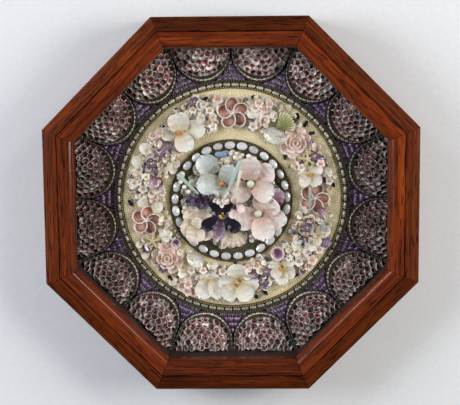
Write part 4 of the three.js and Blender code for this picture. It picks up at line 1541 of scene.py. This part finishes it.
# Cold white and glossy, grey-green and darker at the hinge as painted shade in the hollow of the valve.
blue_white = shell(
    "blue-white clam shell",
    {0: "#a09a80", 0.3: "#bfc1b8", 0.65: "#d1d5d4", 1: "#eff1f1"},
    rough=(0.2, 0.38),
    ridges=4,
    vary=0.06,
    values=THIN_SHELL,
)
BLUE_PETALS = [
    (-18, 28.5, 20, 18, 128, 3.0),
    (-17, 13.5, 21, 17, 185, 3.6),
    (-6, 4, 14, 13, 275, 3.6),
    (-1.5, 21.5, 17, 16, 60, 4.4),
]
blue_flower = laid_petals(BLUE_PETALS, on_well)
piece("blue_white_petals", blue_flower, blue_white, ["blue_white_flower"])
blue_hearts = pinch(on_well(*BLUE_HEART), 10, 0.9, 0.3)
piece("blue_flower_heart", copies(bead_ball, blue_hearts, turn(0), 1.7), orange_grain)
# Satin and pale, pink at the hinge.
pale_pink = shell(
    "pale pink clam shell",
    {0: "#caa290", 0.3: "#dac1b5", 0.65: "#e7d6ce", 1: "#f6eeea"},
    rough=(0.28, 0.45),
    ridges=4,
    vary=0.06,
    values=THIN_SHELL,
)
UPPER_PINK_PETALS = [
    (8.5, 7.5, 17, 19, 218, 3.4),
    (27, 21, 19, 18, 38, 3.6),
    (15.8, 25.5, 20, 19, 92, 4.2),
    (26.5, 7.5, 18, 18, 332, 4.4),
]
upper_pink = laid_petals(UPPER_PINK_PETALS, on_well)
piece("pink_upper_petals", upper_pink, pale_pink, ["pink_flower_upper"])
LOWER_PINK_PETALS = [
    (29, -4.5, 16, 24, 60, 5.2),
    (35, -15.5, 19, 18, 338, 5.6),
    (12.5, -14.5, 19, 20, 195, 5.8),
    (26, -23, 20, 19, 282, 6.4),
]
lower_pink = laid_petals(LOWER_PINK_PETALS, on_well)
piece("pink_lower_petals", lower_pink, pale_pink, ["pink_flower_lower"])
# Nearly black and polished, with a violet hinge and a greyer edge.
pansy_shell = shell(
    "black-purple mussel shell",
    {0: "#41304f", 0.3: "#1f1726", 0.75: "#15111b", 0.9: "#2c2537", 1: "#5a5068"},
    rough=(0.14, 0.26),
    ridges=3,
    vary=0.3,
)
PANSY_PETALS = [
    (-2.5, -7, 13, 10, 48, 7.0),
    (-13, -6.5, 15, 13, 132, 7.2),
    (-16.5, -18, 17, 10.5, 215, 7.8),
    (1, -19.5, 17, 10.5, 318, 8.0),
]
pansy = laid_petals(PANSY_PETALS, on_well, waist=0.6)
piece("pansy_petals", pansy, pansy_shell, ["dark_pansy"])
MAUVE_PETALS = [(38.5, 1.5, 16, 12, 80, 5.0)]
piece("mauve_petals", laid_petals(MAUVE_PETALS, on_well), mauve)
# Dark plum, paling to mauve at the edge.
plum = shell("plum mussel shell", {0: "#2f1a2c", 0.5: "#573a50", 0.85: "#84677c", 1: "#b09aaa"}, ridges=4)
PLUM_PETALS = [(-9, -22.5, 17, 10, 262, 11.2)]
piece("plum_petals", laid_petals(PLUM_PETALS, on_well, waist=0.5), plum)
# Cream, straw-coloured at the hinge, with a pink edge.
tellin_stops = {0: "#d2b87c", 0.25: "#eadcb9", 0.7: "#f4e6d8", 1: "#f6dccf"}
cream_pink = shell("cream tellin shell", tellin_stops, ridges=4)
CREAM_ROSE_PETALS = [
    (-32, -13, 14, 15, 125, 3.0),
    (-22, -14, 13, 14, 50, 3.0),
    (-34, -21.5, 15, 14, 185, 3.0),
    (-21, -25, 15, 15, 320, 3.2),
    (-29, -27, 16, 16, 258, 3.2),
    (-27.5, -18.5, 10, 9, 80, 3.8),
]
cream_rose = laid_petals(CREAM_ROSE_PETALS, on_well, cup=0.2)
piece("cream_rose_petals", cream_rose, cream_pink, ["cream_rose"])
PINK_PETALS = UPPER_PINK_PETALS + LOWER_PINK_PETALS
DARK_PETALS = PANSY_PETALS + MAUVE_PETALS + PLUM_PETALS
LARGE_PETALS = np.array(BLUE_PETALS + PINK_PETALS + DARK_PETALS + CREAM_ROSE_PETALS)[:, :3]
under_petal = petal(1, 0.85, cup=0.25, thick=0.05, steps=(5, 5))
under_petal = under_petal._replace(points=under_petal.points - np.array([0.5, 0, 0]))


def in_well(count, size, up):
    """Valves strewn over the medallion where no large petal lies, lying nearly flat."""
    angle = rng.uniform(0, 2 * math.pi, count)
    out = WELL_REACH * np.sqrt(rng.random(count))
    flat = around(out, angle)[:, :2]
    gaps = np.linalg.norm(flat[:, None] - LARGE_PETALS[None, :, :2], axis=-1)
    flat = flat[(gaps > LARGE_PETALS[:, 2] * PETAL_COVER).all(axis=1)]
    count = len(flat)
    places = on_well(0, 0, up) + np.column_stack([flat, rng.uniform(0, 1.5, count)])
    turns = turn(rng.uniform(*ANY_TURN, count), rng.normal(-0.1, 0.15, count), rng.normal(0, 0.15, count))
    return copies(under_petal, places, turns, size * rng.uniform(0.7, 1.3, count))


# Grey-green and uneven, darker than the shells round them: painted shade between the flowers.
limpet_shade_stops = {0: "#565c50", 0.5: "#8f9484", 1: "#c6c8b8"}
grey_green = shell("grey-green limpet shell", limpet_shade_stops, ridges=4, vary=0.4)
piece("under_valves_grey", in_well(420, 7.0, 0.6), grey_green)
piece("under_valves_cream", in_well(330, 6.5, 1.4), filler_shell)
# Straw-coloured at the hinge, with a pink rim.
rayed_stops = {0: "#d8cc92", 0.5: "#eadfbd", 0.8: "#f3e0d0", 1: "#eec3b3"}
rayed_shell = shell("pink-edged cockle", rayed_stops, ridges=5)
rayed = moved(scallop(16, 7, 2.1, 0.2, 0.012), on_well(2, -31, 5.0), -math.pi / 2)
fringe = moved(scallop(11, 8, 1.4, 0.2), on_well(-1.5, 32, 2.6), math.pi / 2)
piece("rayed_cockles", together(rayed, fringe), rayed_shell)
# Waxy pale green.
pale_green = shell("pale green bead", {0: "#a3a97e", 0.5: "#c7cca2", 1: "#dfe4c2"})
green_hearts = [on_well(*spot) for spot in GREEN_HEARTS]
flower_hearts = copies(ball(4, 10), green_hearts, turn(0), GREEN_HEART_SIZE)
piece("flower_hearts", flower_hearts, pale_green)
pansy_hearts = pinch(on_well(*PANSY_HEART), 9, 1.0, 0.3)
piece("pansy_heart", copies(bead_ball, pansy_hearts, turn(0), 1.8), yellow_bead)
bouquet_spines = [
    laid_spine(on_well(8.5, 33, 9.5), on_well(-3, 5, 10.5), 4.2),
    laid_spine(on_well(-43.5, 21.5, 4), on_well(-26, 5, 7), 3.6),
]
piece("bouquet_spines", together(*bouquet_spines), mint)
tusk = laid_spine(on_well(8.5, 25, 10.5), on_well(4.5, 5, 10.5), 3.0)
piece("white_tusk", tusk, white_bead)
bud_spots = on_well(*BUD_MIDDLE) + rng.normal(0, 1, (BUDS, 3)) * BUD_SPREAD
bud_turns = turn(rng.uniform(*ANY_TURN, BUDS), rng.normal(-0.3, 0.3, BUDS))
violet_bud = petal(5.0, 3.2, cup=0.35, steps=(5, 5))
piece("violet_buds", copies(violet_bud, bud_spots, bud_turns), violet_petal)
BEADS = [
    (-41, 15, 4.0), (-38, 11, 4.0), (-34.5, 7, 4.4), (0.5, 38, 3.6), (5, 38.5, 3.0), (10, 37, 3.6),
    (15, 36, 4.2), (20, 34, 4.0), (30, -29, 3.6), (17, -30, 4.0), (-38, -6, 4.0), (-29.5, 4, 2.4),
    (35, 14, 3.6), (33, 26, 3.4),
]
bead_places = np.array([on_well(x, y, BEAD_LIFT) for x, y, _ in BEADS])
beads = copies(ball(), bead_places, turn(0), [size for *_, size in BEADS])
piece("bouquet_beads", beads, white_bead)
star_yaw = np.arange(STAR_POINTS) * 2.4 + rng.normal(0, 0.2, STAR_POINTS)
star_turns = turn(star_yaw, -np.linspace(0.1, 0.8, STAR_POINTS))
star_places = [on_well(*STAR_MIDDLE)] * STAR_POINTS
white_points = copies(petal(9, 4.0, cup=0.3, blunt=1.6), star_places, star_turns)
piece("white_points", white_points, white_bead)
ROSY_SPOTS = [(3, -3, 10.4), (3.5, -7, 10.8), (5, -4, 10.0), (0, -1.5, 9.8)]
rosy_places = np.array([on_well(*spot) for spot in ROSY_SPOTS])
rosy_turns = turn(np.radians([80, 250, 330, 150]), -0.3)
piece("rosy_valves", copies(petal(8.5, 7, cup=0.3), rosy_places, rosy_turns), pink_petal)
# Dusty blue with a soft gloss.
blue_shell = shell("pale blue shell", {0: "#6a87a3", 0.5: "#86a0b8", 1: "#b2c4d2"}, rough=(0.3, 0.4))
blue_bit = copies(bugle, [on_well(-7.5, 37.5, 5)], turn(0.05), [[10, 5, 4]])
piece("blue_bugle", blue_bit, blue_shell)


# The studio: a pale sheet of paper under the box, a large soft box low down at each side, and a small one far
# off at each upper corner. The camera stands almost over the picture and looks down at it.
FLOOR_HALF = 4.0
FLOOR_DROP = 0.0004
LIGHT_AIM = (0, 0, 0.03)
COOL = "#f4f8ff"
WARM = "#fffcf6"
LIGHTS = {
    "soft_box_left": ((-1.22, 0.29, 0.75), (0.6, 0.9), 14.8, COOL),
    "soft_box_right": ((1.24, 0.22, 0.75), (0.6, 0.9), 15.4, WARM),
    "small_box_left": ((-1.6, 1.5, 1.9), (0.5, 0.5), 8.0, COOL),
    "small_box_right": ((1.6, 1.5, 1.9), (0.5, 0.5), 8.0, WARM),
}
SKY_STRENGTH = 0.2
CAMERA_AIM = np.array([0.0, 0.0, 47.4])
CAMERA_OFFSET = np.array([0.84, -3.21, -900.0])
CAMERA_TURNS = (7.15, -1.21, 0.49)
SENSOR_WIDTH = 36
FOCAL_LENGTH = 88.31

floor_mesh = bpy.data.meshes.new("floor")
floor_corners = np.array([[-1, -1], [1, -1], [1, 1], [-1, 1]]) * FLOOR_HALF
floor_mesh.from_pydata(np.column_stack([floor_corners, np.full(4, -FLOOR_DROP)]), [], [(0, 1, 2, 3)])
floor = bpy.data.objects.new("floor", floor_mesh)
bpy.context.scene.collection.objects.link(floor)
# Matt and nearly white, with a faint grain.
paper, paper_shader = surface("pale backdrop paper")
paper_place = node(paper, "TexCoord", output="Object")
paper_grain = node(paper, "TexNoise", {"Vector": paper_place, "Scale": repeats(3.3333), "Detail": 3})
paper_run = node(paper, "MapRange", {"Value": paper_grain, **noise_to(0, 1)})
paper_colour = node(paper, "ValToRGB", {"Fac": paper_run}, stops={0: "#eceef1", 1: "#f1f3f6"})
paper_rough = node(paper, "MapRange", {"Value": paper_grain, **noise_to(0.8, 0.9)})
coat(paper, paper_shader, paper_colour, paper_rough, paper_grain, 0.05)
floor_mesh.materials.append(paper)


def soft_light(name, place, size, watts, colour):
    """An oblong area light at a place, in metres, facing the box."""
    lamp = bpy.data.lights.new(name, "AREA")
    lamp.shape = "RECTANGLE"
    lamp.size, lamp.size_y = size
    lamp.energy = watts
    lamp.color = linear(colour)[:3]
    made = bpy.data.objects.new(name, lamp)
    back = np.array(place) - np.array(LIGHT_AIM)
    back = back / np.linalg.norm(back)
    across = np.cross([0, 0, 1], back)
    across = across / np.linalg.norm(across)
    up = np.cross(back, across)
    frame_rows = np.column_stack([across, up, back, place])
    made.matrix_world = Matrix(np.vstack([frame_rows, [0, 0, 0, 1]]).tolist())
    bpy.context.scene.collection.objects.link(made)


for name, light in LIGHTS.items():
    soft_light(name, *light)
world = bpy.data.worlds.new("studio")
world.use_nodes = True
sky = world.node_tree.nodes["Background"].inputs
sky["Color"].default_value = linear("#eef0f2")
sky["Strength"].default_value = SKY_STRENGTH
bpy.context.scene.world = world
bpy.context.scene.view_settings.view_transform = "Standard"

tilt, swing, level = (math.radians(a) for a in CAMERA_TURNS)
seen = Matrix.Rotation(tilt, 3, "X") @ Matrix.Rotation(swing, 3, "Y") @ Matrix.Rotation(level, 3, "Z")
away = np.array(seen.transposed()) @ -CAMERA_OFFSET + CAMERA_AIM
lens = bpy.data.cameras.new("camera")
lens.sensor_width = SENSOR_WIDTH
lens.lens = FOCAL_LENGTH
lens.clip_start, lens.clip_end = 0.05, 20
camera = bpy.data.objects.new("camera", lens)
camera.matrix_world = Matrix.Translation(away * MM) @ seen.transposed().to_4x4()
bpy.context.scene.collection.objects.link(camera)
bpy.context.scene.camera = camera
